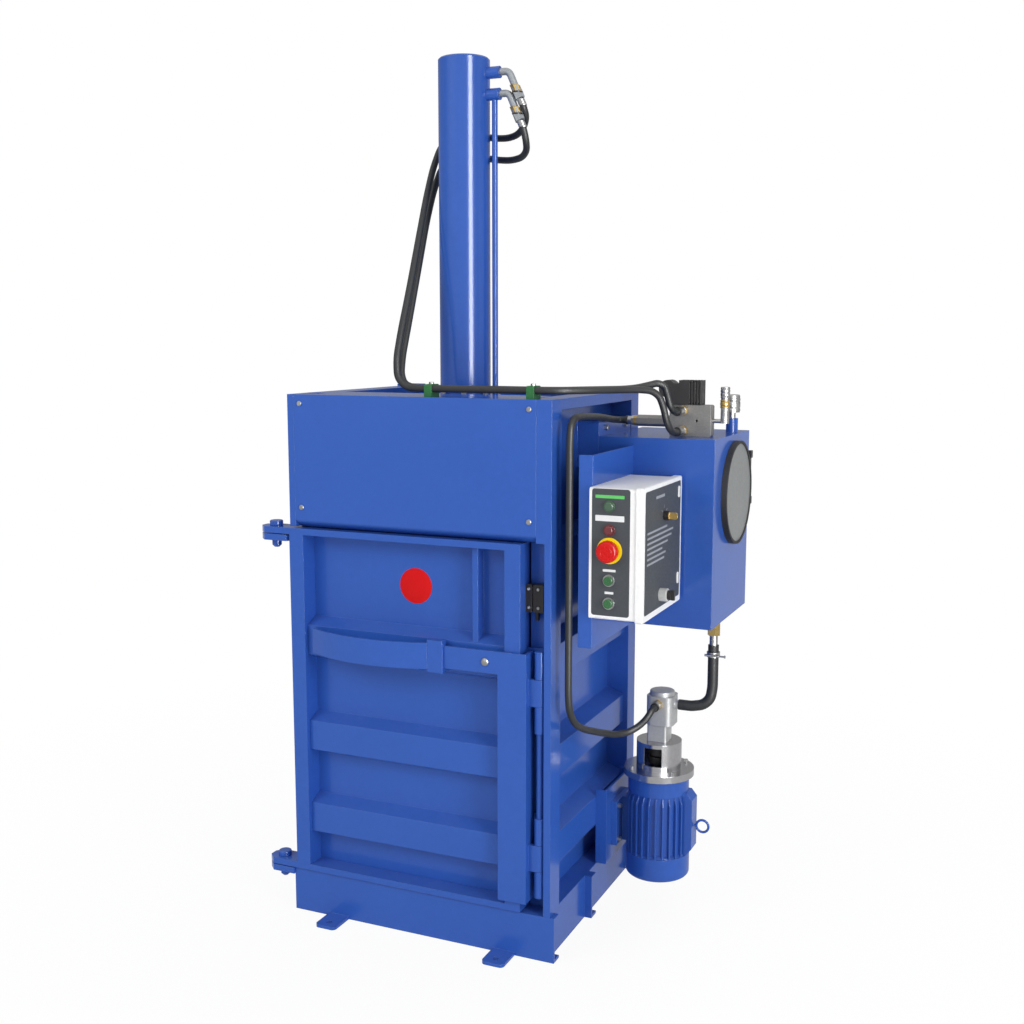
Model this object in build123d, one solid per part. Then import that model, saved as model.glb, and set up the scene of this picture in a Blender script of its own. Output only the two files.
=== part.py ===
from build123d import *
import os
from math import radians, tan

# Drum press: an upright hydraulic press that flattens steel drums in a chamber with a swing door.
# Millimetres, +X right, +Y to the rear, +Z up, origin on the floor at the middle of the anchor holes.

# Whole machine
body_width = 880.0
body_depth = 766.0
body_height = 1672.0
base_overhang = 13.0
base_height = 140.0
wall_recess = 72.0
panel_wall = 6.0
overrun = 20.0
running_fit = 0.05
free_gap = 0.3
door_gap = 3.0

# Base channels, sills, anchor tabs and floor
channel_web = 8.0
channel_flange = 42.0
channel_toe = 10.0
channel_toe_radius = 4.0
mid_channel_setback = 321.0
sill_inset = 24.0
sill_wall = 8.0
ledge_wall = 8.0
ledge_lap = 12.0
anchor_spacing_x = 580.0
anchor_spacing_y = 882.0
anchor_hole = 18.0
tab_width = 72.0
tab_reach = 88.0
tab_wall = 10.0
tab_corner = 14.0
floor_wall = 10.0

# Pressed hat ribs on the walls and the door
rib_face = 95.0
rib_rise = 22.0
rib_wall = 5.0
low_rib_height = 320.0
mid_rib_height = 592.0
handle_rib_height = 902.0
top_rib_height = 1210.0
wall_rib_depth = 58.0
door_rib_depth = 48.0
top_rail_height = 32.0

# Posts and rails
post_width = 75.0
post_depth = 60.0
post_wall = 5.0
rear_post_rise = 7.0
strip_width = 22.0
wide_strip_width = 48.0
left_strip_width = 22.0
jamb_wall = 8.0
jamb_setback = 66.0
rail_height = 44.0
rail_depth = 40.0
door_head = 1262.0

# Front cover
cover_wall = 3.0
cover_bottom = 1281.0
cover_top_return = 215.0
cover_bottom_return = 22.0
screw_radius = 8.0
screw_head = 4.0
screw_inset = 22.0
screw_drop = 28.0
screw_rise = 42.0

# Door
door_proud = 7.0
door_depth = 70.0
door_plate = 20.0
door_stile = 50.0
door_right = 346.0
door_top = 1257.0
door_bar_left = 182.0
door_bar_width = 18.0
door_bar_depth = 40.0

# Door hinge
pivot_out = 70.0
lug_reach = 45.0
lug_chamfer = 22.0
pin_radius = 15.0
pin_head_radius = 21.0
pin_head = 16.0
pin_tail = 26.0
pin_tail_chamfer = 7.0
lug_weld_length = 40.0

# Lock lever and its hinge
lever_width = 91.0
lever_wall = 10.0
lever_gap = 2.0
lever_out = 24.0
lever_side_depth = 56.0
lever_bottom = 177.0
lever_top = 938.0
arm_height = 68.0
arm_reach = 202.0
strap_width = 53.0
strap_height = 98.0
strap_wall = 9.0
grip_wall = 8.0
grip_height = 80.0
grip_length = 440.0
grip_bow = 44.0
grip_end_gap = 2.0
knuckle_radius = 16.0
knuckle_pin_radius = 10.0
knuckle_length = 82.0
knuckle_gap = 1.0
knuckle_out = 53.0
knuckle_setback = 25.0
upper_knuckles_top = 943.0
lower_knuckles_top = 438.0
leaf_wall = 8.0
leaf_setback = 57.0

# Door interlock
switch_width = 33.0
switch_depth = 32.0
switch_height = 82.0
switch_base = 1053.0
switch_corner = 5.0
actuator_width = 20.0
cable_gland_radius = 6.0
cable_gland_length = 26.0

# Cylinder, ram and platen
cylinder_setback = 350.0
barrel_radius = 80.0
bore_radius = 62.5
barrel_bottom = 1520.0
barrel_top = 2692.0
cap_wall = 22.0
cap_chamfer = 5.0
flange_radius = 112.0
flange_wall = 25.0
flange_bolt_radius = 9.0
flange_bolt_head = 12.0
flange_bolt_circle = 94.0
flange_bolt_count = 8
mount_plate_wall = 30.0
mount_plate_half = 190.0
beam_height = 120.0
beam_flange = 55.0
beam_wall = 8.0
beam_spread = 130.0
gland_length = 70.0
rod_radius = 35.0
piston_length = 60.0
piston_top_gap = 10.0
stroke = 1000.0
platen_bottom = 1300.0
platen_wall = 25.0
platen_gap = 18.0
platen_rib_wall = 15.0
platen_rib_height = 90.0
platen_boss_radius = 62.0
platen_boss_height = 120.0
boss_radius = 18.0
boss_reach = 42.0
upper_boss_drop = 49.0
lower_boss_drop = 113.0
pipe_radius = 9.0
pipe_out = 104.0

# Hoses and fittings on the cylinder
hose_radius = 10.5
elbow_radius = 11.0
elbow_run = 30.0
elbow_drop = 83.0
elbow_reach = 37.0
nut_radius = 16.0
nut_length = 24.0
band_radius = 13.5
band_length = 12.0
clip_width = 24.0
clip_margin = 13.0
clip_round = 6.0
first_clip = 40.0
second_clip = 366.0
hose_rise = 24.0
hose_pitch = 24.0
hose_line_setback = 28.0
hose_lead = 26.0
cap_hose_route = [(200, -12, 2510), (182, 12, 2484), (152, 34, 2466), (112, 52, 2460), (64, 66, 2464),
                  (0, 78, 2477), (-56, 81, 2487), (-100, 73, 2481), (-128, 55, 2446), (-138, 22, 2380),
                  (-131, -38, 2285), (-114, -128, 2140), (-97, -222, 1985), (-84, -300, 1862),
                  (-78, -340, 1782), (-68, -354, 1726), (-38, -355, 1698), (2, -355, 1696),
                  (405, -355, 1696), (455, -340, 1696), (505, -282, 1696), (545, -210, 1695),
                  (578, -150, 1694), (606, -108, 1693), (632, -76, 1689), (650, -56, 1672),
                  (660, -46, 1638), (667, -40, 1600), (673, -22, 1572)]
rod_hose_route = [(204, -24, 2440), (196, 2, 2412), (168, 30, 2396), (122, 52, 2392), (68, 68, 2398),
                  (0, 80, 2412), (-56, 83, 2422), (-100, 76, 2415), (-129, 58, 2378), (-140, 26, 2306),
                  (-133, -36, 2208), (-115, -126, 2062), (-98, -218, 1908), (-84, -292, 1790),
                  (-73, -322, 1738), (-58, -331, 1708), (-28, -332, 1697), (8, -331, 1696),
                  (405, -331, 1696), (446, -318, 1696), (487, -268, 1696), (525, -194, 1695),
                  (558, -128, 1694), (584, -82, 1696), (610, -46, 1703), (633, -20, 1710),
                  (652, -10, 1700), (662, -12, 1670), (669, -12, 1642)]
pressure_hose_route = [(456, 84, 1590), (456, 40, 1596), (461, -60, 1607),
                       (468, -150, 1613), (478, -250, 1619), (484, -322, 1619), (485, -354, 1600),
                       (485, -360, 1555), (485, -360, 822), (486, -352, 768), (489, -318, 724),
                       (493, -255, 690), (498, -165, 656), (506, -92, 630), (520, -36, 612),
                       (546, 2, 610), (573, 26, 626), (595, 40, 650)]
suction_hose_route = [(770, 175, 736), (764, 172, 700), (742, 167, 679), (706, 164, 672)]

# Tank
tank_width = 366.0
tank_depth = 430.0
tank_bottom = 965.0
tank_top = 1543.0
tank_front = 2.0
tank_wall = 4.0
disc_radius = 154.0
disc_wall = 8.0
seal_overlap = 9.0
seal_wall = 7.0
seal_rim = 18.0
disc_rise_share = 0.6834
disc_setback = 243.0
manhole_radius = 140.0
gauge_width = 20.0
gauge_depth = 14.0
gauge_height = 175.0
gauge_base = 1303.0
gauge_inset = 1.0
gauge_block = 24.0
gauge_tube_radius = 5.0
tank_bracket_drop = 100.0
tank_bracket_rise = 46.0
tank_bracket_length = 300.0
tank_bracket_wall = 8.0
tank_bolt_radius = 9.0
tank_bolt_head = 8.0
tank_bolt_inset = 58.0

# Valve block on the tank
manifold_width = 131.0
manifold_depth = 40.0
manifold_height = 97.0
manifold_left = 634.0
manifold_setback = 98.0
manifold_hole = 4.0
manifold_hole_share = 0.66
manifold_chamfer = 4.0
port_inset = 43.0
upper_port_height = 80.0
lower_port_height = 18.0
ferrule_radius = 13.0
ferrule_length = 18.0
long_ferrule_length = 47.0
hex_nut_radius = 15.0
hex_nut_length = 18.0
valve_width = 134.0
valve_depth = 50.0
valve_height = 75.0
valve_overhang = 34.0
valve_nose_radius = 27.0
valve_step = 10.0
valve_coil = 70.0
valve_setback = -5.0
valve_rib_count = 4
valve_rib_gap = 4.0
valve_rib_cut = 5.0
filter_radius = 18.0
filter_left = 525.0
filter_height = 44.0
filter_setback = 20.0
relief_radius = 13.0
relief_height = 104.0
relief_out = 38.0
relief_share = 0.5
breather_boss_radius = 19.0
breather_boss_height = 46.0
breather_neck_radius = 11.0
breather_neck_height = 19.0
breather_cap_radius = 24.0
breather_cap_height = 56.0
breather_setback = 308.0
breather_inset = 28.0

# Suction line
suction_setback = 173.0
suction_inset = 36.0
suction_nut_radius = 20.0
suction_nut_length = 56.0
suction_tail_radius = 13.0
suction_tail_length = 32.0
suction_hose_radius = 17.0
clamp_radius = 21.0
clamp_width = 16.0
clamp_drop = 38.0
clamp_bolt_radius = 4.0
clamp_bolt_length = 44.0

# Control box and bracket
bracket_out = 108.0
bracket_wall = 5.0
bracket_flange = 37.0
bracket_front = -355.0
bracket_top_drop = 24.0
control_width = 160.0
control_length = 360.0
control_height = 372.0
control_base = 1060.0
control_front = -382.0
control_wall = 4.0
control_lid = 22.0
control_corner = 8.0
lid_lip = 4.0
device_out_share = 0.38
estop_share = 0.5296
up_button_share = 0.3038
down_button_share = 0.129
power_lamp_share = 0.8656
fault_lamp_share = 0.6855
collar_radius = 37.0
collar_wall = 3.0
mushroom_radius = 31.0
mushroom_height = 22.0
mushroom_dome = 10.0
stem_radius = 13.0
stem_gap = 9.0
button_radius = 13.0
button_ring_radius = 17.0
button_ring = 6.0
button_proud = 9.0
lamp_proud = 8.0
selector_share = 0.7473
selector_setback = 186.0
selector_radius = 14.0
selector_length = 16.0
selector_barrel = 10.0
key_wall = 3.0
key_width = 20.0
key_length = 24.0
isolator_share = 0.1398
isolator_setback = 158.0
isolator_base_radius = 19.0
isolator_base_wall = 24.0
isolator_knob_radius = 14.0
isolator_knob_length = 20.0
isolator_grip_width = 9.0
isolator_shaft = 6.0

# Motor, coupling, bellhousing and pump
motor_x = 600.0
motor_y = 163.0
motor_core_radius = 92.0
motor_fin_radius = 104.0
motor_fin_wall = 5.0
motor_fin_count = 28
motor_fin_slope = 26.0
motor_fins_bottom = 176.0
motor_fins_top = 380.0
motor_top = 436.0
motor_band_radius = 99.0
motor_pad_out = 122.0
motor_pad_width = 60.0
motor_pad_low = 179.0
motor_pad_high = 387.0
motor_pad_slope = 22.0
cowl_radius = 104.0
cowl_bottom = 97.0
cowl_wall = 3.0
cowl_round = 14.0
cowl_slot = 5.0
cowl_slot_count = 5
cowl_slot_pitch = 16.0
cowl_slot_share = 0.55
bell_flange_radius = 114.0
bell_flange_wall = 22.0
bell_radius = 73.0
bell_wall = 9.0
bell_top = 548.0
bell_window_width = 58.0
bell_window_low = 476.0
bell_window_high = 536.0
bell_bolt_radius = 7.0
bell_bolt_head = 9.0
bell_bolt_circle = 100.0
bell_bolt_count = 4
shaft_radius = 14.0
coupling_radius = 34.0
coupling_half = 24.0
coupling_gap = 6.0
coupling_jaw_count = 3
coupling_jaw_play = 6
coupling_eye = 16.0
coupling_seat = 12.0
shaft_seat = 30.0
pump_shaft_radius = 10.0
pump_seat = 12.0
pump_neck = 66.0
pump_neck_height = 57.0
pump_body = 88.0
pump_body_height = 95.0
pump_body_corner = 22.0
pump_offset = 8.0
pump_corner = 8.0
pump_head_radius = 40.0
pump_head_height = 15.0
pump_port_height = 128.0
pump_port_shift = 7.0
pump_suction_height = 124.0
pump_port_radius = 15.0
pump_port_reach = 12.0
eye_ring_radius = 20.0
eye_wire_radius = 4.0
eye_stem_length = 8.0
eye_height = 275.0
foot_width = 140.0
foot_height = 150.0
foot_base = 190.0
foot_wall = 18.0
foot_web = 28.0
mount_out = 15.0
mount_wall = 8.0
mount_length = 240.0
mount_base = 142.0
mount_height = 249.0
foot_bolt_radius = 8.0
foot_bolt_head = 10.0
foot_bolt_inset = 18.0

# Places worked out from the sizes above
front = -body_depth / 2
rear = body_depth / 2
side = body_width / 2
base_width = body_width + 2 * base_overhang
panel_out = side - wall_recess
panel_in = panel_out - panel_wall
jamb_front = front + jamb_setback
jamb_back = jamb_front + jamb_wall
wall_top = body_height
door_front = front - door_proud
door_back = door_front + door_depth
door_left = -side
door_bottom = base_height + door_gap
pivot_x = -side - pivot_out
pivot_y = door_front + door_depth / 2
cylinder_y = front + cylinder_setback
beam_top = barrel_bottom + gland_length + overrun
plate_top = beam_top + mount_plate_wall
tank_left = side
tank_right = tank_left + tank_width
tank_rear = tank_front + tank_depth
disc_height = tank_bottom + (tank_top - tank_bottom) * disc_rise_share
lever_right = door_right + lever_out
lever_front = door_front - lever_gap - lever_wall
knuckle_x = door_right + knuckle_out
knuckle_y = door_front + knuckle_setback
bracket_x = side + bracket_out
control_left = bracket_x + bracket_wall
control_right = control_left + control_width
power_lamp_height = control_base + control_height * power_lamp_share
fault_lamp_height = control_base + control_height * fault_lamp_share
estop_height = control_base + control_height * estop_share
up_button_height = control_base + control_height * up_button_share
down_button_height = control_base + control_height * down_button_share
selector_height = control_base + control_height * selector_share
isolator_height = control_base + control_height * isolator_share
hose_height = body_height + hose_rise
hose_line = front + hose_line_setback
low = (Align.MIN, Align.MIN, Align.MIN)
standing = (Align.CENTER, Align.CENTER, Align.MIN)


# Box between the low and high ends given for each axis
def block(x, y, z):
    return Pos(x[0], y[0], z[0]) * Box(x[1] - x[0], y[1] - y[0], z[1] - z[0], align=low)


# Round bar from one point to another
def bar(start, end, radius):
    span = Vector(*end) - Vector(*start)
    return Plane(origin=start, z_dir=span) * Cylinder(radius, span.length, align=standing)


# Hexagon bar from one point to another, measured to its corners
def hex_bar(start, end, radius):
    span = Vector(*end) - Vector(*start)
    face = Plane(origin=start, z_dir=span) * RegularPolygon(radius, 6)
    return extrude(face, span.length)


# Flat shape through the points given, carried along the plane's normal
def section(plane, points, length):
    return extrude(plane * make_face(Polyline(*points, close=True)), length)


# Square tube standing between two heights
def post(x, y, z, wall):
    inner = block((x[0] + wall, x[1] - wall), (y[0] + wall, y[1] - wall), z)
    return block(x, y, z) - inner


# Hat rib: a flat face with two sloping flanges, open towards the panel it is welded to
def hat_rib(origin, out, along, length, depth):
    half = rib_face / 2
    foot = half + rib_rise
    outer = [(0, foot), (depth, half), (depth, -half), (0, -foot)]
    lip = half - rib_wall
    inner = [(0, foot - rib_wall), (depth - rib_wall, lip), (depth - rib_wall, -lip), (0, rib_wall - foot)]
    plane = Plane(origin=origin, x_dir=out, z_dir=along)
    return section(plane, outer, length) - section(plane, inner, length)


# Tube along a route of straight runs, with each corner rounded as far as its two runs allow
bend_share = 0.45


def hose(name, points, radius):
    spots = [Vector(*point) for point in points]
    radii = []
    for before, here, after in zip(spots, spots[1:], spots[2:]):
        turn = (here - before).get_angle(after - here)
        shorter = min((here - before).length, (after - here).length)
        radii.append(bend_share * shorter / tan(radians(turn) / 2))
    print(name, "bend radii", [round(value) for value in radii])
    route = FilletPolyline(*spots, radius=radii)
    return sweep(Plane(origin=route @ 0, z_dir=route % 0) * Circle(radius), route)


# Base: three cross channels, their sills, the anchor tabs and the floor plate
def cross_channel(web_face, facing):
    depth = channel_flange * facing
    inner_start = channel_web * facing
    plane = Plane(origin=(-base_width / 2, web_face, 0), x_dir=(0, 1, 0), z_dir=(1, 0, 0))
    corners = [(0, 0), (depth, 0), (depth, channel_toe), (inner_start, channel_toe)]
    rise = base_height - channel_toe
    corners += [(inner_start, rise), (depth, rise), (depth, base_height), (0, base_height)]
    solid = section(plane, corners, base_width)
    free_edges = solid.edges().filter_by(Axis.X).group_by(Axis.Y)
    toes = free_edges[-1] if facing > 0 else free_edges[0]
    return fillet(toes, channel_toe_radius)


def anchor_tabs(face, facing):
    tabs = []
    for x in (-anchor_spacing_x / 2, anchor_spacing_x / 2):
        tip = face - facing * tab_reach
        tab = block((x - tab_width / 2, x + tab_width / 2), sorted((tip, face)), (0, tab_wall))
        outer = tab.edges().filter_by(Axis.Z).group_by(Axis.Y)
        tab = fillet(outer[0] if facing > 0 else outer[-1], tab_corner)
        hole_y = -facing * anchor_spacing_y / 2
        tab -= Pos(x, hole_y, 0) * Cylinder(anchor_hole / 2, tab_wall + overrun)
        tabs.append(tab)
    return tabs


def base_frame():
    mid_front = front + mid_channel_setback
    base = cross_channel(front, 1) + cross_channel(mid_front, 1) + cross_channel(rear, -1)
    outer = base_width / 2 - sill_inset
    ledge_z = (base_height - ledge_wall, base_height)
    for hand in (-1, 1):
        x = sorted((hand * outer, hand * (outer - sill_wall)))
        base += block(x, (front + channel_web, mid_front), (0, base_height))
        base += block(x, (mid_front + channel_web, rear - channel_web), (0, base_height))
        ledge_x = sorted((hand * (panel_in - ledge_lap), hand * (outer - sill_wall)))
        base += block(ledge_x, (front + channel_web, mid_front), ledge_z)
        base += block(ledge_x, (mid_front + channel_web, rear - channel_web), ledge_z)
    ledge_x = (ledge_lap - panel_in, panel_in - ledge_lap)
    floor_y = (jamb_back, rear - wall_recess - panel_wall)
    base += block(ledge_x, (front + channel_web, floor_y[0] + ledge_lap), ledge_z)
    base += block(ledge_x, (floor_y[1] - ledge_lap, rear - channel_web), ledge_z)
    for tab in anchor_tabs(front, 1) + anchor_tabs(rear, -1):
        base += tab
    return base


def floor_plate():
    return block((-panel_in, panel_in), (jamb_back, rear - wall_recess - panel_wall),
                 (base_height, base_height + floor_wall))


# Walls: recessed panels with hat ribs outside and a rail along the top
def side_wall(hand, front_edge):
    back_edge = rear - wall_recess
    y = (front_edge, back_edge)
    wall = block(sorted((hand * panel_in, hand * panel_out)), y, (base_height, wall_top))
    rail_x = sorted((hand * panel_out, hand * side))
    hollow_x = (rail_x[0] + rib_wall, rail_x[1] - rib_wall)
    rail_z = (wall_top - top_rail_height, wall_top)
    wall += block(rail_x, y, rail_z) - block(hollow_x, y, (rail_z[0] + rib_wall, rail_z[1] - rib_wall))
    for height in (low_rib_height, mid_rib_height, handle_rib_height, top_rib_height):
        start = (hand * panel_out, front_edge, height)
        wall += hat_rib(start, (hand, 0, 0), (0, 1, 0), back_edge - front_edge, wall_rib_depth)
    return wall


def rear_wall():
    out = rear - wall_recess
    edge = side - post_width
    wall = block((-panel_in, panel_in), (out - panel_wall, out), (base_height, wall_top))
    rail_z = (wall_top - top_rail_height, wall_top)
    wall += block((-edge, edge), (out, rear), rail_z)
    wall -= block((-edge, edge), (out + rib_wall, rear - rib_wall),
                  (rail_z[0] + rib_wall, rail_z[1] - rib_wall))
    for height in (low_rib_height, mid_rib_height, handle_rib_height, top_rib_height):
        wall += hat_rib((-edge, out, height), (0, 1, 0), (1, 0, 0), edge + edge, wall_rib_depth)
    return wall


def rear_post(hand):
    x = sorted((hand * (side - post_width), hand * side))
    return post(x, (rear - wall_recess, rear), (base_height, wall_top + rear_post_rise), post_wall)


def front_left_post():
    x = (-side, -side + post_width)
    column = post(x, (jamb_front, jamb_front + post_depth), (base_height, wall_top), post_wall)
    strip_x = (-side, -side + left_strip_width)
    return column + block(strip_x, (front, jamb_front), (door_head, wall_top))


def front_right_post():
    strip = block((side - strip_width, side), (front, jamb_front), (base_height, door_head))
    strip += block((side - wide_strip_width, side), (front, jamb_front), (door_head, wall_top))
    jamb = block((door_right + door_gap, side), (jamb_front, jamb_back), (base_height, wall_top))
    return strip + jamb


def header_rails():
    return [header_rail(cover_bottom + cover_wall), header_rail(body_height - cover_wall - rail_height)]


def header_rail(low_edge):
    x = (-side + left_strip_width, side - wide_strip_width)
    y = (front + cover_wall, front + cover_wall + rail_depth)
    z = (low_edge, low_edge + rail_height)
    inner = block(x, (y[0] + post_wall, y[1] - post_wall), (z[0] + post_wall, z[1] - post_wall))
    return block(x, y, z) - inner


cover_x = (-side + left_strip_width, side - wide_strip_width)
cover_heights = (cover_bottom + screw_rise, body_height - screw_drop)


def front_cover():
    back = front + cover_wall
    cover = block(cover_x, (front, back), (cover_bottom, body_height))
    top = (body_height - cover_wall, body_height)
    cover += block(cover_x, (back, jamb_front), top)
    cover += block((-panel_in, door_right + door_gap), (jamb_front, front + cover_top_return), top)
    cover += block(cover_x, (back, front + cover_bottom_return), (cover_bottom, cover_bottom + cover_wall))
    return cover


def cover_screws():
    screws = []
    for x in (cover_x[0] + screw_inset, cover_x[1] - screw_inset):
        for z in cover_heights:
            head = bar((x, front - screw_head, z), (x, front, z), screw_radius)
            screws.append(fillet(head.faces().sort_by(Axis.Y)[0].edges(), screw_head / 2))
    return screws


# Door: two stiles between thick end plates whose left ends are the hinge lugs
def hinge_plate(x_end, y_end, z):
    tip = pivot_x - lug_reach
    y = (door_front, y_end)
    outline = [(tip, y[0] + lug_chamfer), (tip + lug_chamfer, y[0]), (x_end, y[0]), (x_end, y[1])]
    outline += [(tip + lug_chamfer, y[1]), (tip, y[1] - lug_chamfer)]
    return section(Plane.XY.offset(z[0]), outline, z[1] - z[0])


def pin_bore(radius, z):
    return Pos(pivot_x, pivot_y, z[0] - overrun) * Cylinder(radius, z[1] - z[0] + 2 * overrun, align=standing)


bottom_plate_z = (door_bottom, door_bottom + door_plate)
top_plate_z = (door_top - door_plate, door_top)


def door_frame():
    stile_z = (bottom_plate_z[1], top_plate_z[0])
    y = (door_front, door_back)
    frame = post((door_left, door_left + door_stile), y, stile_z, post_wall)
    frame += post((door_right - door_stile, door_right), y, stile_z, post_wall)
    for z in (bottom_plate_z, top_plate_z):
        frame += hinge_plate(door_right, door_back, z) - pin_bore(pin_radius + running_fit, z)
    return frame


def door_panel():
    x = (door_left + door_stile, door_right - door_stile)
    face = door_back - panel_wall
    panel = block(x, (face, door_back), (bottom_plate_z[1], top_plate_z[0]))
    for height in (low_rib_height, mid_rib_height, handle_rib_height):
        panel += hat_rib((x[0], face, height), (0, -1, 0), (1, 0, 0), x[1] - x[0], door_rib_depth)
    bar_x = (door_bar_left, door_bar_left + door_bar_width)
    bar_z = (handle_rib_height + rib_face / 2, top_plate_z[0])
    return panel + block(bar_x, (face - door_bar_depth, face), bar_z)


def frame_lug(top, x_end):
    z = (top - door_plate, top)
    return hinge_plate(x_end, door_back, z) - pin_bore(pin_radius, z)


# Corner of the upper lug that the door's stile sweeps past as it opens
def stile_sweep(z):
    corner = block((pivot_x, -side + overrun), (door_front - overrun, pivot_y), z)
    return corner - pin_bore(pivot_out - door_gap, z)


upper_lug_top = top_plate_z[0] - door_gap
lower_lug_top = bottom_plate_z[0] - door_gap


def frame_lugs():
    tail_x = (-side - lug_weld_length, -side)
    z = (upper_lug_top - door_plate, upper_lug_top)
    tail = block(tail_x, (door_back, jamb_front + post_depth), z)
    upper = frame_lug(upper_lug_top, -side) - stile_sweep(z) + tail
    return [upper, frame_lug(lower_lug_top, -base_width / 2)]


def hinge_pins():
    pins = []
    for plate_top, lug_top in ((top_plate_z[1], upper_lug_top), (bottom_plate_z[1], lower_lug_top)):
        tail = lug_top - door_plate - pin_tail
        shank = Pos(pivot_x, pivot_y, tail) * Cylinder(pin_radius, plate_top - tail, align=standing)
        shank = chamfer(shank.faces().sort_by(Axis.Z)[0].edges(), pin_tail_chamfer)
        head = Pos(pivot_x, pivot_y, plate_top + free_gap) * Cylinder(
            pin_head_radius, pin_head, align=standing)
        head = fillet(head.faces().sort_by(Axis.Z)[-1].edges(), pin_head / 4)
        neck = Pos(pivot_x, pivot_y, plate_top) * Cylinder(pin_radius, free_gap, align=standing)
        pins.append(shank + neck + head)
    return pins


# Lock lever: an angle that wraps the door's edge, its arm, strap and bowed grip
def lever_arm_z():
    return (lever_top - arm_height, lever_top)


arm_end = lever_right - lever_width - arm_reach
lever_y = (lever_front, lever_front + lever_wall)


def knuckle_spans(top):
    bottom = top - 3 * knuckle_length
    return [(bottom + step * knuckle_length, bottom + (step + 1) * knuckle_length) for step in range(3)]


def knuckle(span, bore):
    z = (span[0] + knuckle_gap / 2, span[1] - knuckle_gap / 2)
    ring = Pos(knuckle_x, knuckle_y, z[0]) * Cylinder(knuckle_radius, z[1] - z[0], align=standing)
    return ring, Pos(knuckle_x, knuckle_y, z[0]) * Cylinder(bore, z[1] - z[0], align=standing), z


def lock_lever():
    x = (lever_right - lever_width, lever_right)
    lever = block(x, lever_y, (lever_bottom, lever_top))
    lever += block((lever_right - lever_wall, lever_right), (lever_front, lever_front + lever_side_depth),
                   (lever_bottom, lever_top))
    lever += block((arm_end, x[0]), lever_y, lever_arm_z())
    for top in (upper_knuckles_top, lower_knuckles_top):
        ring, hole, z = knuckle(knuckle_spans(top)[1], knuckle_pin_radius + running_fit)
        web = block((lever_right, knuckle_x), (knuckle_y - knuckle_radius, knuckle_y), z)
        lever += ring + web - hole
    return lever


def strap_block():
    x = (arm_end - strap_width / 2, arm_end + strap_width / 2)
    middle = lever_top - arm_height / 2
    z = (middle - strap_height / 2, middle + strap_height / 2)
    strap = block(x, (lever_y[0] - strap_wall, lever_y[1] + strap_wall), z)
    return fillet(strap.edges().filter_by(Axis.Z), strap_wall / 3)


def lever_strap():
    return strap_block() - block((arm_end, arm_end + strap_width), lever_y, lever_arm_z())


def lever_grip():
    middle = lever_top - arm_height / 2
    centre_y = lever_front + lever_wall / 2
    rib_y = door_back - panel_wall - door_rib_depth
    end_y = rib_y - grip_end_gap - grip_wall
    start = (arm_end, centre_y)
    end = (arm_end - grip_length, end_y)
    crown = (arm_end - grip_length / 2, centre_y - grip_bow)
    path = Plane.XY.offset(middle) * ThreePointArc(start, crown, end)
    face = Plane(origin=path @ 0, z_dir=path % 0, x_dir=(0, 0, 1)) * Rectangle(grip_height, grip_wall)
    return sweep(face, path) - strap_block()


def lock_hinge_leaves():
    leaf_y = (door_front + leaf_setback, door_front + leaf_setback + leaf_wall)
    leaves = []
    for top in (upper_knuckles_top, lower_knuckles_top):
        spans = knuckle_spans(top)
        z = (spans[0][0] + knuckle_gap / 2, spans[2][1] - knuckle_gap / 2)
        leaf = block((door_right, knuckle_x + leaf_wall), leaf_y, z)
        for span in (spans[0], spans[2]):
            ring, hole, own_z = knuckle(span, knuckle_pin_radius)
            web = block((knuckle_x - leaf_wall, knuckle_x + leaf_wall), (knuckle_y, leaf_y[0]), own_z)
            leaf += ring + web - hole
        leaves.append(leaf)
    return leaves


def lock_hinge_pin():
    z = (knuckle_spans(lower_knuckles_top)[0][0], upper_knuckles_top)
    return Pos(knuckle_x, knuckle_y, z[0]) * Cylinder(knuckle_pin_radius, z[1] - z[0], align=standing)


# Interlock: a switch on the jamb and its actuator on the door's edge
def rounded_block(x, y, z, radius, axis):
    return fillet(block(x, y, z).edges().filter_by(axis), radius)


def interlock_switch():
    left = door_right + door_gap + actuator_width
    y = (jamb_front - switch_depth, jamb_front)
    z = (switch_base, switch_base + switch_height)
    body = rounded_block((left, left + switch_width), y, z, switch_corner, Axis.Y)
    centre = (left + switch_width / 4, y[0] + switch_depth / 2)
    gland = bar((*centre, switch_base - cable_gland_length), (*centre, switch_base), cable_gland_radius)
    return body + gland


def interlock_actuator():
    y = (jamb_front - switch_depth, door_back - door_gap)
    z = (switch_base, switch_base + switch_height)
    return rounded_block((door_right, door_right + actuator_width), y, z, switch_corner, Axis.Y)


# Cylinder on its beams, with the rod, the piston and the platen below it
def cylinder_beam(sign):
    web_y = cylinder_y + sign * beam_spread
    edge = web_y + sign * beam_wall
    toe = web_y - sign * (beam_flange - beam_wall)
    z = (beam_top - beam_height, beam_top)
    x = (-panel_in, panel_in)
    beam = block(x, sorted((web_y, edge)), z)
    beam += block(x, sorted((toe, edge)), (z[0], z[0] + beam_wall))
    return beam + block(x, sorted((toe, edge)), (z[1] - beam_wall, z[1]))


def cylinder_mount_plate():
    z = (beam_top, plate_top)
    y = (cylinder_y - mount_plate_half, cylinder_y + mount_plate_half)
    plate = block((-mount_plate_half, mount_plate_half), y, z)
    return plate - Pos(0, cylinder_y, z[0] - overrun) * Cylinder(
        barrel_radius + free_gap, mount_plate_wall + 2 * overrun, align=standing)


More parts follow.
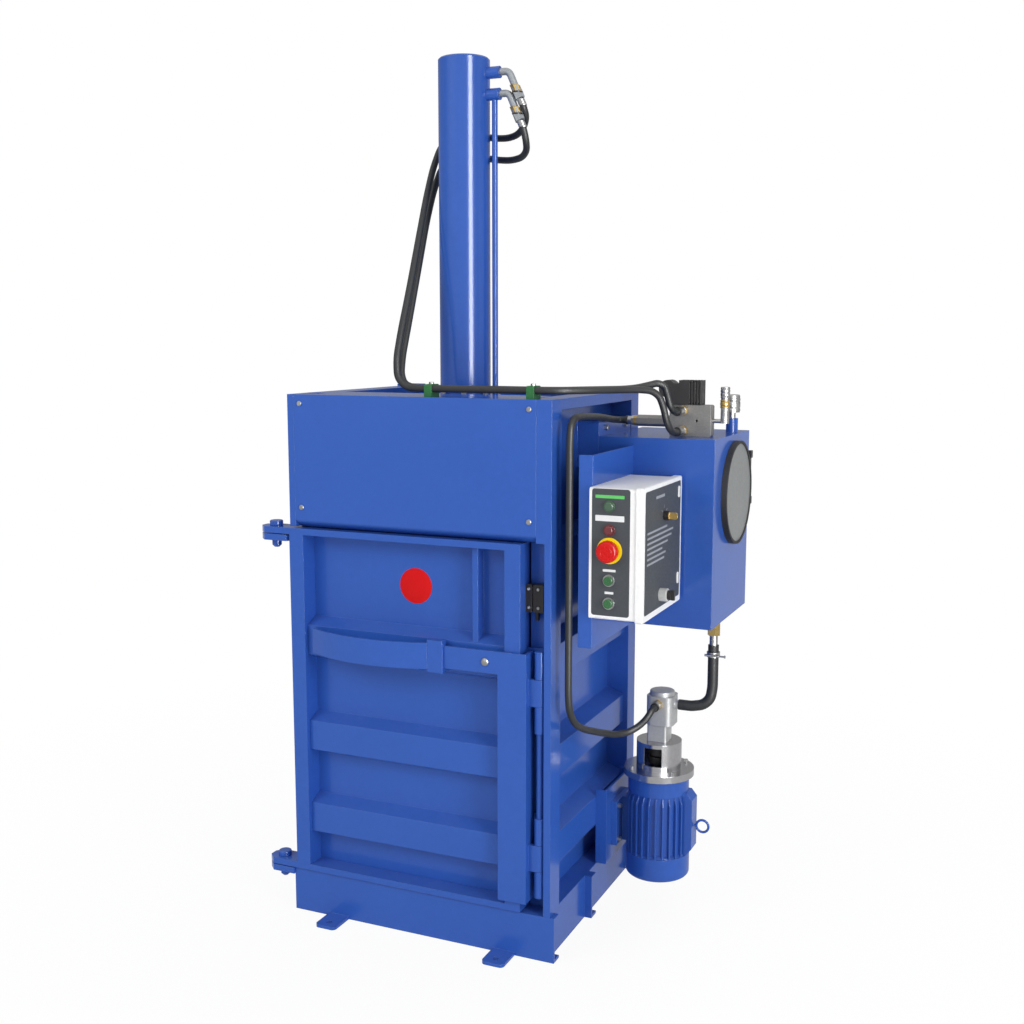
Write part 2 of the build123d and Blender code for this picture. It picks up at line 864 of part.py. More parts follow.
def cylinder_barrel():
    def round_at(radius, bottom, top):
        return Pos(0, cylinder_y, bottom) * Cylinder(radius, top - bottom, align=standing)
    barrel = round_at(barrel_radius, barrel_bottom, barrel_top)
    barrel = chamfer(barrel.faces().sort_by(Axis.Z)[-1].edges(), cap_chamfer)
    barrel += round_at(flange_radius, plate_top, plate_top + flange_wall)
    for drop in (upper_boss_drop, lower_boss_drop):
        z = barrel_top - drop
        barrel += bar((0, cylinder_y, z), (barrel_radius + boss_reach, cylinder_y, z), boss_radius)
    return barrel - round_at(bore_radius, barrel_bottom - overrun, barrel_top - cap_wall)


def flange_bolts():
    bolts = []
    base = plate_top + flange_wall
    for spot in PolarLocations(flange_bolt_circle, flange_bolt_count, start_angle=180 / flange_bolt_count):
        x, y = spot.position.X, spot.position.Y + cylinder_y
        bolts.append(hex_bar((x, y, base), (x, y, base + flange_bolt_head), flange_bolt_radius))
    return bolts


def cylinder_gland():
    ring = Pos(0, cylinder_y, barrel_bottom) * Cylinder(bore_radius, gland_length, align=standing)
    return ring - Pos(0, cylinder_y, barrel_bottom - overrun) * Cylinder(
        rod_radius + running_fit, gland_length + 2 * overrun, align=standing)


def return_pipe():
    boss_z = barrel_top - lower_boss_drop
    pipe = bar((pipe_out, cylinder_y, plate_top + flange_wall), (pipe_out, cylinder_y, boss_z), pipe_radius)
    return pipe - bar((0, cylinder_y, boss_z), (pipe_out + overrun, cylinder_y, boss_z), boss_radius)


piston_top = barrel_top - cap_wall - piston_top_gap


def piston():
    body = Pos(0, cylinder_y, piston_top - piston_length) * Cylinder(
        bore_radius - free_gap, piston_length, align=standing)
    return chamfer(body.edges().filter_by(GeomType.CIRCLE), cap_chamfer)


def ram_rod():
    foot = platen_bottom + platen_wall + platen_boss_height
    return bar((0, cylinder_y, foot), (0, cylinder_y, piston_top - piston_length), rod_radius)


def platen():
    edge_x = panel_in - platen_gap
    y = (door_back + platen_gap, rear - wall_recess - panel_wall - platen_gap)
    plate = block((-edge_x, edge_x), y, (platen_bottom, platen_bottom + platen_wall))
    top = platen_bottom + platen_wall
    boss = Pos(0, cylinder_y, top) * Cylinder(platen_boss_radius, platen_boss_height, align=standing)
    half = platen_rib_wall / 2
    rise = top + platen_rib_height
    crown = platen_boss_radius
    across = [(-edge_x, top), (edge_x, top), (crown, rise), (-crown, rise)]
    along = [(y[0], top), (y[1], top), (cylinder_y + crown, rise), (cylinder_y - crown, rise)]
    ribs = section(Plane(origin=(0, cylinder_y + half, 0), x_dir=(1, 0, 0), z_dir=(0, -1, 0)), across,
                   platen_rib_wall)
    ribs += section(Plane(origin=(-half, 0, 0), x_dir=(0, 1, 0), z_dir=(1, 0, 0)), along, platen_rib_wall)
    return plate + boss + ribs


# Hose line: elbows at the cylinder ports, two hoses in clips over the cover, and the pressure hose
def port_points(drop):
    z = barrel_top - drop
    start = (barrel_radius + boss_reach, cylinder_y, z)
    knee = (start[0] + elbow_run, cylinder_y, z)
    return start, knee, (knee[0] + elbow_reach, cylinder_y, z - elbow_drop)


def port_elbows():
    elbows = []
    for drop in (upper_boss_drop, lower_boss_drop):
        start, knee, end = port_points(drop)
        back = (Vector(*knee) - Vector(*end)).normalized()
        nut_top = Vector(*end) + back * nut_length
        band_end = nut_top + back * band_length
        elbow = hose("elbow", (start, knee, end), elbow_radius)
        elbow += hex_bar(end, tuple(nut_top), nut_radius)
        elbow += bar(tuple(nut_top), tuple(band_end), band_radius)
        elbows.append(elbow)
    return elbows


valve_x = manifold_left + port_inset
valve_y = tank_front + manifold_setback
valve_end_y = valve_y - hex_nut_length - long_ferrule_length
filter_y = valve_y + filter_setback
filter_z = tank_top + filter_height
filter_end_x = filter_left - hex_nut_length - ferrule_length
pump_front = motor_y - pump_body / 2
pump_right = motor_x + pump_offset + pump_body / 2
pump_port_z = bell_top + pump_port_height
pump_end_y = pump_front - hex_nut_length - ferrule_length
pump_suction_z = bell_top + pump_suction_height
suction_x = tank_right - suction_inset
suction_y = tank_front + suction_setback
suction_z = tank_bottom - suction_nut_length - suction_tail_length


def lead_out(start, way):
    return tuple(Vector(*start) + Vector(*way).normalized() * hose_lead)


def port_hose(name, drop, route, rise):
    start = port_points(drop)[2]
    end = (valve_x, valve_end_y, tank_top + rise)
    out = (elbow_reach, 0, -elbow_drop)
    return hose(name, [start, lead_out(start, out), *route, lead_out(end, (0, -1, 0)), end], hose_radius)


def cap_hose():
    return port_hose("cap hose", upper_boss_drop, cap_hose_route, lower_port_height)


def rod_hose():
    return port_hose("rod hose", lower_boss_drop, rod_hose_route, upper_port_height)


def pressure_hose():
    start = (filter_end_x, filter_y, filter_z)
    end = (motor_x + pump_port_shift, pump_end_y, pump_port_z)
    spots = [start, lead_out(start, (-1, 0, 0)), *pressure_hose_route, lead_out(end, (0, -1, 0)), end]
    return hose("pressure hose", spots, hose_radius)


def suction_hose():
    start = (suction_x, suction_y, suction_z)
    end = (pump_right + pump_port_reach, motor_y, pump_suction_z)
    spots = [start, *suction_hose_route, lead_out(end, (1, 0, 0)), end]
    return hose("suction hose", spots, suction_hose_radius)


def hose_clips():
    clips = []
    lanes = (hose_line, hose_line + hose_pitch)
    for x in (first_clip, second_clip):
        span_x = (x - clip_width / 2, x + clip_width / 2)
        span_y = (lanes[0] - clip_margin, lanes[1] + clip_margin)
        clip = block(span_x, span_y, (body_height, hose_height + clip_margin))
        clip = fillet(clip.faces().sort_by(Axis.Z)[-1].edges().filter_by(Axis.X), clip_round)
        for y in lanes:
            clip -= bar((span_x[0] - overrun, y, hose_height), (span_x[1] + overrun, y, hose_height),
                        hose_radius + running_fit)
        clips.append(clip)
    return clips


# Oil tank beside the body, its bracket, manhole cover, gauge and breather
def oil_tank():
    tank = block((tank_left, tank_right), (tank_front, tank_rear), (tank_bottom, tank_top))
    tank -= block((tank_left + tank_wall, tank_right - tank_wall),
                  (tank_front + tank_wall, tank_rear - tank_wall),
                  (tank_bottom + tank_wall, tank_top - tank_wall))
    return tank - bar((tank_right - overrun, disc_y, disc_height),
                      (tank_right + overrun, disc_y, disc_height), manhole_radius)


disc_y = tank_front + disc_setback


def manhole_ring(inner, outer, low_x, wall):
    ring = bar((low_x, disc_y, disc_height), (low_x + wall, disc_y, disc_height), outer)
    return ring - bar((low_x - overrun, disc_y, disc_height),
                      (low_x + wall + overrun, disc_y, disc_height), inner)


def manhole_seal():
    outer = disc_radius + seal_overlap
    seal = manhole_ring(manhole_radius, outer, tank_right, seal_wall)
    return seal + manhole_ring(disc_radius + running_fit, outer, tank_right, seal_rim)


def manhole_cover():
    low_x = tank_right + seal_wall
    return bar((low_x, disc_y, disc_height), (low_x + disc_wall, disc_y, disc_height), disc_radius)


def tank_bracket():
    z = (tank_top - tank_bracket_drop, tank_top + tank_bracket_rise)
    y = (tank_front, tank_front + tank_bracket_length)
    bracket = block((tank_left - tank_bracket_wall, tank_left), y, z)
    for edge in (y[0], y[1] - tank_bracket_wall):
        bracket += block((panel_out, tank_left), (edge, edge + tank_bracket_wall), z)
    return bracket


def tank_bolts():
    bolts = []
    z = tank_top + tank_bracket_rise / 2
    for y in (tank_front + tank_bolt_inset, tank_front + tank_bracket_length - tank_bolt_inset):
        bolts.append(hex_bar((tank_left, y, z), (tank_left + tank_bolt_head, y, z), tank_bolt_radius))
    return bolts


def level_gauge():
    x = (tank_right, tank_right + gauge_depth)
    y = (tank_rear - gauge_inset - gauge_width, tank_rear - gauge_inset)
    z = (gauge_base, gauge_base + gauge_height)
    gauge = rounded_block(x, y, (z[0], z[0] + gauge_block), gauge_depth / 4, Axis.X)
    gauge += rounded_block(x, y, (z[1] - gauge_block, z[1]), gauge_depth / 4, Axis.X)
    middle = ((x[0] + x[1]) / 2, (y[0] + y[1]) / 2)
    return gauge + bar((*middle, z[0]), (*middle, z[1]), gauge_tube_radius)


breather_x = tank_right - breather_inset
breather_y = tank_front + breather_setback


def filler_neck():
    top = tank_top + breather_boss_height
    return bar((breather_x, breather_y, tank_top), (breather_x, breather_y, top), breather_boss_radius)


def breather():
    foot = tank_top + breather_boss_height
    neck_top = foot + breather_neck_height
    neck = bar((breather_x, breather_y, foot), (breather_x, breather_y, neck_top), breather_neck_radius)
    cap = bar((breather_x, breather_y, neck_top), (breather_x, breather_y, neck_top + breather_cap_height),
              breather_cap_radius)
    return neck + chamfer(cap.faces().sort_by(Axis.Z)[-1].edges(), breather_neck_radius / 4)


# Valve block on the tank with its solenoid, filter, gauge stack and hose ends
def manifold():
    x = (manifold_left, manifold_left + manifold_width)
    z = (tank_top, tank_top + manifold_height)
    body = block(x, (valve_y, valve_y + manifold_depth), z)
    body = chamfer(body.edges().filter_by(Axis.Y), manifold_chamfer)
    hole_x = x[0] + manifold_width * manifold_hole_share
    hole_z = tank_top + manifold_height / 2
    return body - bar((hole_x, valve_y - overrun, hole_z), (hole_x, valve_y + overrun, hole_z), manifold_hole)


def solenoid_valve():
    left = manifold_left - valve_overhang
    right = left + valve_width
    y = (valve_y + valve_setback, valve_y + valve_setback + valve_depth)
    z = (tank_top + manifold_height, tank_top + manifold_height + valve_height)
    nose_x = left + valve_nose_radius
    nose_z = z[1] - valve_nose_radius
    body = block((nose_x, right), y, (z[0], z[1] - valve_step)) + block((right - valve_coil, right), y, z)
    body += bar((nose_x, y[0], nose_z), (nose_x, y[1], nose_z), valve_nose_radius)
    pitch = valve_rib_gap + valve_rib_cut
    for step in range(valve_rib_count):
        edge = right - pitch * (step + 1)
        groove = block((edge, edge + valve_rib_cut), (y[0] - overrun, y[1] + overrun),
                       (z[0] - overrun, z[1] + overrun))
        core = block((edge, edge + valve_rib_cut), (y[0] + valve_rib_cut, y[1] - valve_rib_cut),
                     (z[0] + valve_rib_cut, z[1] - valve_rib_cut))
        body -= groove - core
    return body


def line_filter():
    return hex_bar((filter_left, filter_y, filter_z), (manifold_left, filter_y, filter_z), filter_radius)


def relief_stack():
    right = manifold_left + manifold_width
    x = right + relief_out
    y = valve_y + manifold_depth * relief_share
    z = tank_top + manifold_height / 2
    stack = bar((right, y, z), (x, y, z), relief_radius / 2)
    stack += bar((x, y, z - relief_radius / 2), (x, y, z + relief_height), relief_radius)
    return stack


def hose_end(start, way, sleeve):
    seat = Vector(*start)
    out = Vector(*way)
    nut_end = seat + out * hex_nut_length
    tip = nut_end + out * sleeve
    return hex_bar(tuple(seat), tuple(nut_end), hex_nut_radius) + bar(
        tuple(nut_end), tuple(tip), ferrule_radius)


def hose_ends():
    ends = [hose_end((valve_x, valve_y, tank_top + rise), (0, -1, 0), long_ferrule_length)
            for rise in (upper_port_height, lower_port_height)]
    ends.append(hose_end((filter_left, filter_y, filter_z), (-1, 0, 0), ferrule_length))
    pump_port = (motor_x + pump_port_shift, pump_front, pump_port_z)
    ends.append(hose_end(pump_port, (0, -1, 0), ferrule_length))
    return ends


def suction_fitting():
    nut_low = tank_bottom - suction_nut_length
    nut = hex_bar((suction_x, suction_y, nut_low), (suction_x, suction_y, tank_bottom), suction_nut_radius)
    return nut + bar((suction_x, suction_y, suction_z), (suction_x, suction_y, nut_low), suction_tail_radius)


def hose_clamp():
    z = suction_z - clamp_drop
    ring = bar((suction_x, suction_y, z), (suction_x, suction_y, z + clamp_width), clamp_radius)
    ring -= bar((suction_x, suction_y, z - overrun), (suction_x, suction_y, z + clamp_width + overrun),
                suction_hose_radius)
    screw_y = suction_y - clamp_radius - clamp_bolt_radius / 2
    middle = z + clamp_width / 2
    reach = clamp_bolt_length / 2
    return ring + bar((suction_x - reach, screw_y, middle), (suction_x + reach, screw_y, middle),
                      clamp_bolt_radius)


# Control box on its folded bracket, with the devices on its front and on its lid
def control_bracket():
    z = (tank_bottom, tank_top - bracket_top_drop)
    plate = block((bracket_x, bracket_x + bracket_wall), (bracket_front, tank_front), z)
    return plate + block((bracket_x - bracket_flange, bracket_x),
                         (bracket_front, bracket_front + bracket_wall), z)


control_y = (control_front, control_front + control_length)
control_z = (control_base, control_base + control_height)
seam = control_right - control_lid
device_x = control_left + control_width * device_out_share
devices = ((estop_height, stem_radius), (up_button_height, button_radius),
           (down_button_height, button_radius))


def control_box():
    box = rounded_block((control_left, seam), control_y, control_z, control_corner, Axis.X)
    box -= block((control_left + control_wall, seam),
                 (control_y[0] + control_wall, control_y[1] - control_wall),
                 (control_z[0] + control_wall, control_z[1] - control_wall))
    for height, radius in devices:
        box -= bar((device_x, control_front - overrun, height), (device_x, control_front + overrun, height),
                   radius + free_gap)
    return box


def control_lid_shell():
    lip_y = (control_y[0] - lid_lip, control_y[1] + lid_lip)
    lip_z = (control_z[0] - lid_lip, control_z[1] + lid_lip)
    lid = rounded_block((seam, control_right), lip_y, lip_z, control_corner, Axis.X)
    lid = fillet(lid.faces().sort_by(Axis.X)[-1].edges(), control_wall)
    return lid - block((seam - overrun, control_right - control_wall),
                       (control_y[0] + control_wall, control_y[1] - control_wall),
                       (control_z[0] + control_wall, control_z[1] - control_wall))


def front_ring(height, outer, inner, wall):
    ring = bar((device_x, control_front - wall, height), (device_x, control_front, height), outer)
    return ring - bar((device_x, control_front - overrun, height),
                      (device_x, control_front + overrun, height), inner)


def estop_collar():
    return front_ring(estop_height, collar_radius, stem_radius + running_fit, collar_wall)


def button_rings():
    return [front_ring(height, button_ring_radius, button_radius + running_fit, button_ring)
            for height in (up_button_height, down_button_height)]


def lamp(height):
    base = bar((device_x, control_front - button_ring, height), (device_x, control_front, height),
               button_ring_radius)
    lens = bar((device_x, control_front - button_ring - lamp_proud, height),
               (device_x, control_front - button_ring, height), button_radius)
    return base + fillet(lens.faces().sort_by(Axis.Y)[0].edges(), lamp_proud / 2)


def estop_button():
    seat = control_front - collar_wall
    back = seat - stem_gap
    head = bar((device_x, back - mushroom_height, estop_height), (device_x, back, estop_height),
               mushroom_radius)
    head = fillet(head.faces().sort_by(Axis.Y)[0].edges(), mushroom_dome)
    return head + bar((device_x, back, estop_height), (device_x, control_front + control_wall, estop_height),
                      stem_radius)


def push_button(height):
    face = control_front - button_ring - button_proud
    cap = bar((device_x, face, height), (device_x, control_front + control_wall, height), button_radius)
    return fillet(cap.faces().sort_by(Axis.Y)[0].edges(), button_proud / 4)


selector_y = control_front + selector_setback
isolator_y = control_front + isolator_setback


def selector_collar():
    ring = bar((control_right, selector_y, selector_height),
               (control_right + selector_length, selector_y, selector_height), selector_radius)
    return ring - bar((control_right, selector_y, selector_height),
                      (control_right + selector_length + overrun, selector_y, selector_height),
                      selector_barrel + running_fit)


def selector_key():
    start = control_right + free_gap
    end = control_right + selector_length
    barrel = bar((start, selector_y, selector_height), (end, selector_y, selector_height), selector_barrel)
    half = key_wall / 2
    bow = block((end, end + key_length), (selector_y - half, selector_y + half),
                (selector_height - key_width / 2, selector_height + key_width / 2))
    return barrel + fillet(bow.edges().filter_by(Axis.Y).group_by(Axis.X)[-1], key_width / 3)


def isolator_base():
    end = control_right + isolator_base_wall
    base = bar((control_right, isolator_y, isolator_height), (end, isolator_y, isolator_height),
               isolator_base_radius)
    base = fillet(base.faces().sort_by(Axis.X)[-1].edges(), control_wall / 2)
    return base - bar((control_right, isolator_y, isolator_height),
                      (end + overrun, isolator_y, isolator_height), isolator_shaft + running_fit)


def isolator_knob():
    seat = control_right + isolator_base_wall
    start = seat + free_gap
    end = start + isolator_knob_length / 2
    knob = bar((start, isolator_y, isolator_height), (end, isolator_y, isolator_height), isolator_knob_radius)
    knob += bar((control_right + free_gap, isolator_y, isolator_height), (start, isolator_y, isolator_height),
                isolator_shaft)
    half = isolator_grip_width / 2
    grip = block((end, start + isolator_knob_length), (isolator_y - half, isolator_y + half),
                 (isolator_height - isolator_knob_radius, isolator_height + isolator_knob_radius))
    return knob + grip


# Motor hung on the side wall, its coupling in an open bellhousing, and the pump on top
def upright(radius, bottom, top):
    return bar((motor_x, motor_y, bottom), (motor_x, motor_y, top), radius)


mount_x = side + mount_out
mount_y = (motor_y - mount_length / 2, motor_y + mount_length / 2)
mount_z = (mount_base, mount_base + mount_height)
rib_out = panel_out + wall_rib_depth
foot_x = mount_x + mount_wall


def motor_bracket():
    bracket = block((mount_x, foot_x), mount_y, mount_z)
    for edge in (mount_y[0], mount_y[1] - mount_wall):
        bracket += block((rib_out, mount_x), (edge, edge + mount_wall), mount_z)
    return bracket


def motor_body():
    body = upright(motor_core_radius, motor_fins_bottom, motor_top)
    body += upright(motor_band_radius, motor_fins_top, motor_top)
    root = motor_core_radius - motor_fin_wall
    outline = [(root, motor_fins_bottom), (motor_fin_radius, motor_fins_bottom),
               (motor_fin_radius, motor_fins_top - motor_fin_slope), (motor_core_radius, motor_fins_top),
               (root, motor_fins_top)]
    fin = section(Plane(origin=(0, motor_fin_wall / 2, 0), x_dir=(1, 0, 0), z_dir=(0, -1, 0)), outline,
                  motor_fin_wall)
    for step in range(motor_fin_count):
        body += Pos(motor_x, motor_y, 0) * Rot(0, 0, 360 * step / motor_fin_count) * fin
    outline = [(root, motor_pad_low), (motor_fin_radius, motor_pad_low),
               (motor_pad_out, motor_pad_low + motor_pad_slope),
               (motor_pad_out, motor_pad_high - motor_pad_slope), (motor_fin_radius, motor_pad_high),
               (root, motor_pad_high)]
    body += section(Plane(origin=(motor_x, motor_y + motor_pad_width / 2, 0), x_dir=(1, 0, 0),
                          z_dir=(0, -1, 0)), outline, motor_pad_width)
    foot_z = (foot_base, foot_base + foot_height)
    foot = block((foot_x, foot_x + foot_wall), (motor_y - foot_width / 2, motor_y + foot_width / 2), foot_z)
    foot += block((foot_x, motor_x - motor_core_radius / 2),
                  (motor_y - foot_web / 2, motor_y + foot_web / 2), foot_z)
    return body + foot - upright(shaft_radius + running_fit, motor_top - shaft_seat - free_gap,
                                 motor_top + overrun)


def foot_bolts():
    bolts = []
    start = foot_x + foot_wall
    for y in (motor_y - foot_width / 2 + foot_bolt_inset, motor_y + foot_width / 2 - foot_bolt_inset):
        for z in (foot_base + foot_bolt_inset, foot_base + foot_height - foot_bolt_inset):
            bolts.append(hex_bar((start, y, z), (start + foot_bolt_head, y, z), foot_bolt_radius))
    return bolts


def fan_cowl():
    cowl = upright(cowl_radius, cowl_bottom, motor_fins_bottom)
    cowl = fillet(cowl.faces().sort_by(Axis.Z)[0].edges(), cowl_round)
    hollow = upright(cowl_radius - cowl_wall, cowl_bottom + cowl_wall, motor_fins_bottom)
    cowl -= fillet(hollow.faces().sort_by(Axis.Z)[0].edges(), cowl_round - cowl_wall)
    for step in range(cowl_slot_count):
        shift = (step - (cowl_slot_count - 1) / 2) * cowl_slot_pitch
        half = cowl_radius * cowl_slot_share
        slot_y = (motor_y + shift - cowl_slot / 2, motor_y + shift + cowl_slot / 2)
        cowl -= block((motor_x - half, motor_x + half), slot_y,
                      (cowl_bottom - overrun, cowl_bottom + cowl_wall + running_fit))
    return cowl


def eye_bolt():
    start = motor_x + motor_pad_out
    centre = start + eye_stem_length + eye_ring_radius
    ring = Pos(centre, motor_y, eye_height) * Rot(90, 0, 0) * Torus(eye_ring_radius, eye_wire_radius)
    return ring + bar((start, motor_y, eye_height), (start + eye_stem_length, motor_y, eye_height),
                      eye_wire_radius)


def bellhousing():
    flange_top = motor_top + bell_flange_wall
    bell = upright(bell_flange_radius, motor_top, flange_top) + upright(bell_radius, flange_top, bell_top)
    bell -= upright(bell_radius - bell_wall, motor_top - overrun, bell_top - bell_wall)
    bell -= upright(pump_shaft_radius + free_gap, bell_top - overrun, bell_top + overrun)
    return bell - block((motor_x - bell_window_width / 2, motor_x + bell_window_width / 2),
                        (motor_y - bell_radius - overrun, motor_y + bell_radius + overrun),
                        (bell_window_low, bell_window_high))


def bell_bolts():
    bolts = []
    base = motor_top + bell_flange_wall
    for spot in PolarLocations(bell_bolt_circle, bell_bolt_count, start_angle=45):
        x, y = spot.position.X + motor_x, spot.position.Y + motor_y
        bolts.append(hex_bar((x, y, base), (x, y, base + bell_bolt_head), bell_bolt_radius))
    return bolts


coupling_low = motor_top + bell_flange_wall + coupling_seat
coupling_split = coupling_low + coupling_half


def coupling_hub(bottom, turn):
    hub = upright(coupling_radius, bottom, bottom + coupling_half)
    sector = 180 / coupling_jaw_count
    jaw = Cylinder(coupling_radius, coupling_gap, arc_size=sector - coupling_jaw_play, align=standing)
    jaw -= Cylinder(coupling_eye, coupling_gap, align=standing)
    for step in range(coupling_jaw_count):
        hub += Pos(motor_x, motor_y, coupling_split) * Rot(0, 0, turn + 2 * sector * step) * jaw
    return hub


def coupling():
    lower = coupling_hub(coupling_low, 0) + upright(shaft_radius, motor_top - shaft_seat, coupling_low)
    upper_low = coupling_split + coupling_gap
    upper = coupling_hub(upper_low, 180 / coupling_jaw_count)
    return [lower, upper + upright(pump_shaft_radius, upper_low + coupling_half, bell_top + pump_seat)]


def gear_pump():
    neck_top = bell_top + pump_neck_height
    body_top = neck_top + pump_body_height
    half = pump_neck / 2
    pump = rounded_block((motor_x - half, motor_x + half), (motor_y - half, motor_y + half),
                         (bell_top, neck_top), pump_corner, Axis.Z)
    half = pump_body / 2
    pump += rounded_block((pump_right - pump_body, pump_right), (motor_y - half, motor_y + half),
                          (neck_top, body_top), pump_body_corner, Axis.Z)
    middle = pump_right - half
    head = bar((middle, motor_y, body_top), (middle, motor_y, body_top + pump_head_height), pump_head_radius)
    pump += fillet(head.faces().sort_by(Axis.Z)[-1].edges(), pump_head_height / 3)
    port_end = pump_right + pump_port_reach
    pump += bar((motor_x, motor_y, pump_suction_z), (port_end, motor_y, pump_suction_z), pump_port_radius)
    return pump - upright(pump_shaft_radius + running_fit, bell_top - overrun,
                          bell_top + pump_seat + free_gap)


os.makedirs("parts", exist_ok=True)
nodes = {
    "base_frame": base_frame(),
    "floor_plate": floor_plate(),
    "left_wall": side_wall(-1, jamb_front + post_depth),
    "right_wall": side_wall(1, jamb_back) + tank_bracket(),
    "rear_wall": rear_wall() + rear_post(-1) + rear_post(1),
    "front_left_post": front_left_post(),
    "front_right_post": front_right_post(),
    "header_rails": header_rails(),
    "front_cover": front_cover(),
    "frame_lugs": frame_lugs(),
    "hinge_pins": hinge_pins(),
    "door_frame": door_frame(),
    "door_panel": door_panel(),
    "lock_lever": lock_lever(),
    "lever_strap": lever_strap(),
    "lever_grip": lever_grip(),
    "lock_hinge_leaves": lock_hinge_leaves(),
    "lock_hinge_pin": lock_hinge_pin(),
    "interlock_switch": interlock_switch(),
    "interlock_actuator": interlock_actuator(),
    "cylinder_mount": [cylinder_beam(-1), cylinder_beam(1), cylinder_mount_plate()],
    "cylinder_barrel": cylinder_barrel(),
    "cylinder_gland": cylinder_gland(),
    "return_pipe": return_pipe(),
    "piston": piston(),
    "ram_rod": ram_rod(),
    "platen": platen(),
    "hose_fittings": port_elbows() + hose_ends() + [relief_stack()],
    "cap_hose": cap_hose(),
    "rod_hose": rod_hose(),
    "hose_clips": hose_clips(),
    "oil_tank": oil_tank() + filler_neck(),
    "manhole_seal": manhole_seal(),
    "manhole_cover": manhole_cover(),
    "level_gauge": level_gauge(),
    "breather": breather(),
    "manifold": manifold(),
    "solenoid_valve": solenoid_valve(),
    "line_filter": line_filter(),
    "suction_fitting": [suction_fitting(), hose_clamp()],
    "suction_hose": suction_hose(),
    "pressure_hose": pressure_hose(),
    "control_bracket": control_bracket(),
    "control_box": control_box(),
    "control_lid": control_lid_shell(),
    "indicator_lamps": [lamp(power_lamp_height), lamp(fault_lamp_height)],
    "estop_collar": estop_collar(),
    "device_rings": button_rings() + [selector_collar(), isolator_base()],
    "estop_button": estop_button(),
    "up_button": push_button(up_button_height),
    "down_button": push_button(down_button_height),
    "selector_key": selector_key(),
    "isolator_knob": isolator_knob(),
    "motor_bracket": motor_bracket(),
    "motor_body": [motor_body(), eye_bolt()],
    "fan_cowl": fan_cowl(),
    "bellhousing": bellhousing(),
    "coupling": coupling(),
    "gear_pump": gear_pump(),
    "frame_bolts": cover_screws() + tank_bolts() + flange_bolts() + foot_bolts() + bell_bolts(),
}
for name, shape in nodes.items():
    pieces = shape if isinstance(shape, list) else [shape]
    solids = [solid for piece in pieces for solid in piece.solids()]
    export_step(solids[0] if len(solids) == 1 else Compound(children=solids), f"parts/{name}.step")
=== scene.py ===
import math

import bpy
import numpy as np
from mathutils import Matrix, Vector


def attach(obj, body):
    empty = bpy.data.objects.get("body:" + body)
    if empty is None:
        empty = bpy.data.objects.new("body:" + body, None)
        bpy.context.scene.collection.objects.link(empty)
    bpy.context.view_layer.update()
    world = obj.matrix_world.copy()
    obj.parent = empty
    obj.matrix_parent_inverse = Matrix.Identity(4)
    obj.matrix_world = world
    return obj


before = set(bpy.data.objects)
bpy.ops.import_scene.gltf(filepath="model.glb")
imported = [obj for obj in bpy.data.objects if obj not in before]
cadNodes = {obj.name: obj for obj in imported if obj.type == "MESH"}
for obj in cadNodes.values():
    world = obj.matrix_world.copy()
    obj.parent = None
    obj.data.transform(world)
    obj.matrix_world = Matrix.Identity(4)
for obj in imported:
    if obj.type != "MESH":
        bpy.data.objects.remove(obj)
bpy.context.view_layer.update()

print("frame loaded:", len(cadNodes), "nodes")


def tone(red, green, blue):  # a screen colour of 0 to 255 made linear: a power, straight near black
    share = np.array([red, green, blue]) / 255
    linear = np.where(share <= 0.04045, share / 12.92, ((share + 0.055) / 1.055) ** 2.4)
    return (*linear.tolist(), 1.0)


def grey(level):  # one linear level in all three colours
    return (level, level, level, 1)


def feed(tree, socket, given):  # an input takes a link from another socket, or a plain value
    if isinstance(given, bpy.types.NodeSocket):
        tree.links.new(given, socket)
    else:
        socket.default_value = given


def addNode(tree, kind, values=None, **settings):  # settings first, because they can change the inputs
    made = tree.nodes.new(kind)
    for key, value in settings.items():
        setattr(made, key, value)
    for key, value in (values or {}).items():
        feed(tree, made.inputs[key], value)
    return made


mixSockets = dict(factor=0, first=6, second=7, result=2)  # where a Mix node keeps its colour sockets


def mixColour(tree, factor, first, second):  # from the first colour to the second as the factor grows
    made = addNode(tree, "ShaderNodeMix", data_type="RGBA")
    feed(tree, made.inputs[mixSockets["factor"]], factor)
    feed(tree, made.inputs[mixSockets["first"]], first)
    feed(tree, made.inputs[mixSockets["second"]], second)
    return made.outputs[mixSockets["result"]]


def mathNode(tree, operation, first, second, clamp=False):  # one sum on two numbers
    made = addNode(tree, "ShaderNodeMath", operation=operation, use_clamp=clamp)
    feed(tree, made.inputs[0], first)
    feed(tree, made.inputs[1], second)
    return made.outputs[0]


def spread(tree, value, span, levels=(0.0, 1.0)):  # the value's share of a span, moved onto two levels
    made = addNode(tree, "ShaderNodeMapRange", {"Value": value, "From Min": span[0],
                                                "From Max": span[1], "To Min": levels[0],
                                                "To Max": levels[1]})
    return made.outputs[0]


def cloud(tree, place, scale, detail, roughness):  # layered noise about one half
    made = addNode(tree, "ShaderNodeTexNoise", {"Vector": place, "Scale": scale, "Detail": detail,
                                                "Roughness": roughness})
    return made.outputs["Fac"]


number, colour, arrow = "NodeSocketFloat", "NodeSocketColor", "NodeSocketVector"


def newGroup(name, takes, gives):  # a shader group with its named sockets
    group = bpy.data.node_groups.new(name, "ShaderNodeTree")
    for label, kind, value in takes:
        socket = group.interface.new_socket(label, in_out="INPUT", socket_type=kind)
        socket.default_value = value
    for label, kind in gives:
        group.interface.new_socket(label, in_out="OUTPUT", socket_type=kind)
    return group, group.nodes.new("NodeGroupInput").outputs, group.nodes.new("NodeGroupOutput").inputs


mottleForm = dict(broad=(4.0, 0.6), fine=(3.0, 0.5), fineRatio=17.0, colourSpan=(0.36, 0.64),
                  roughSpan=(0.3, 0.7))


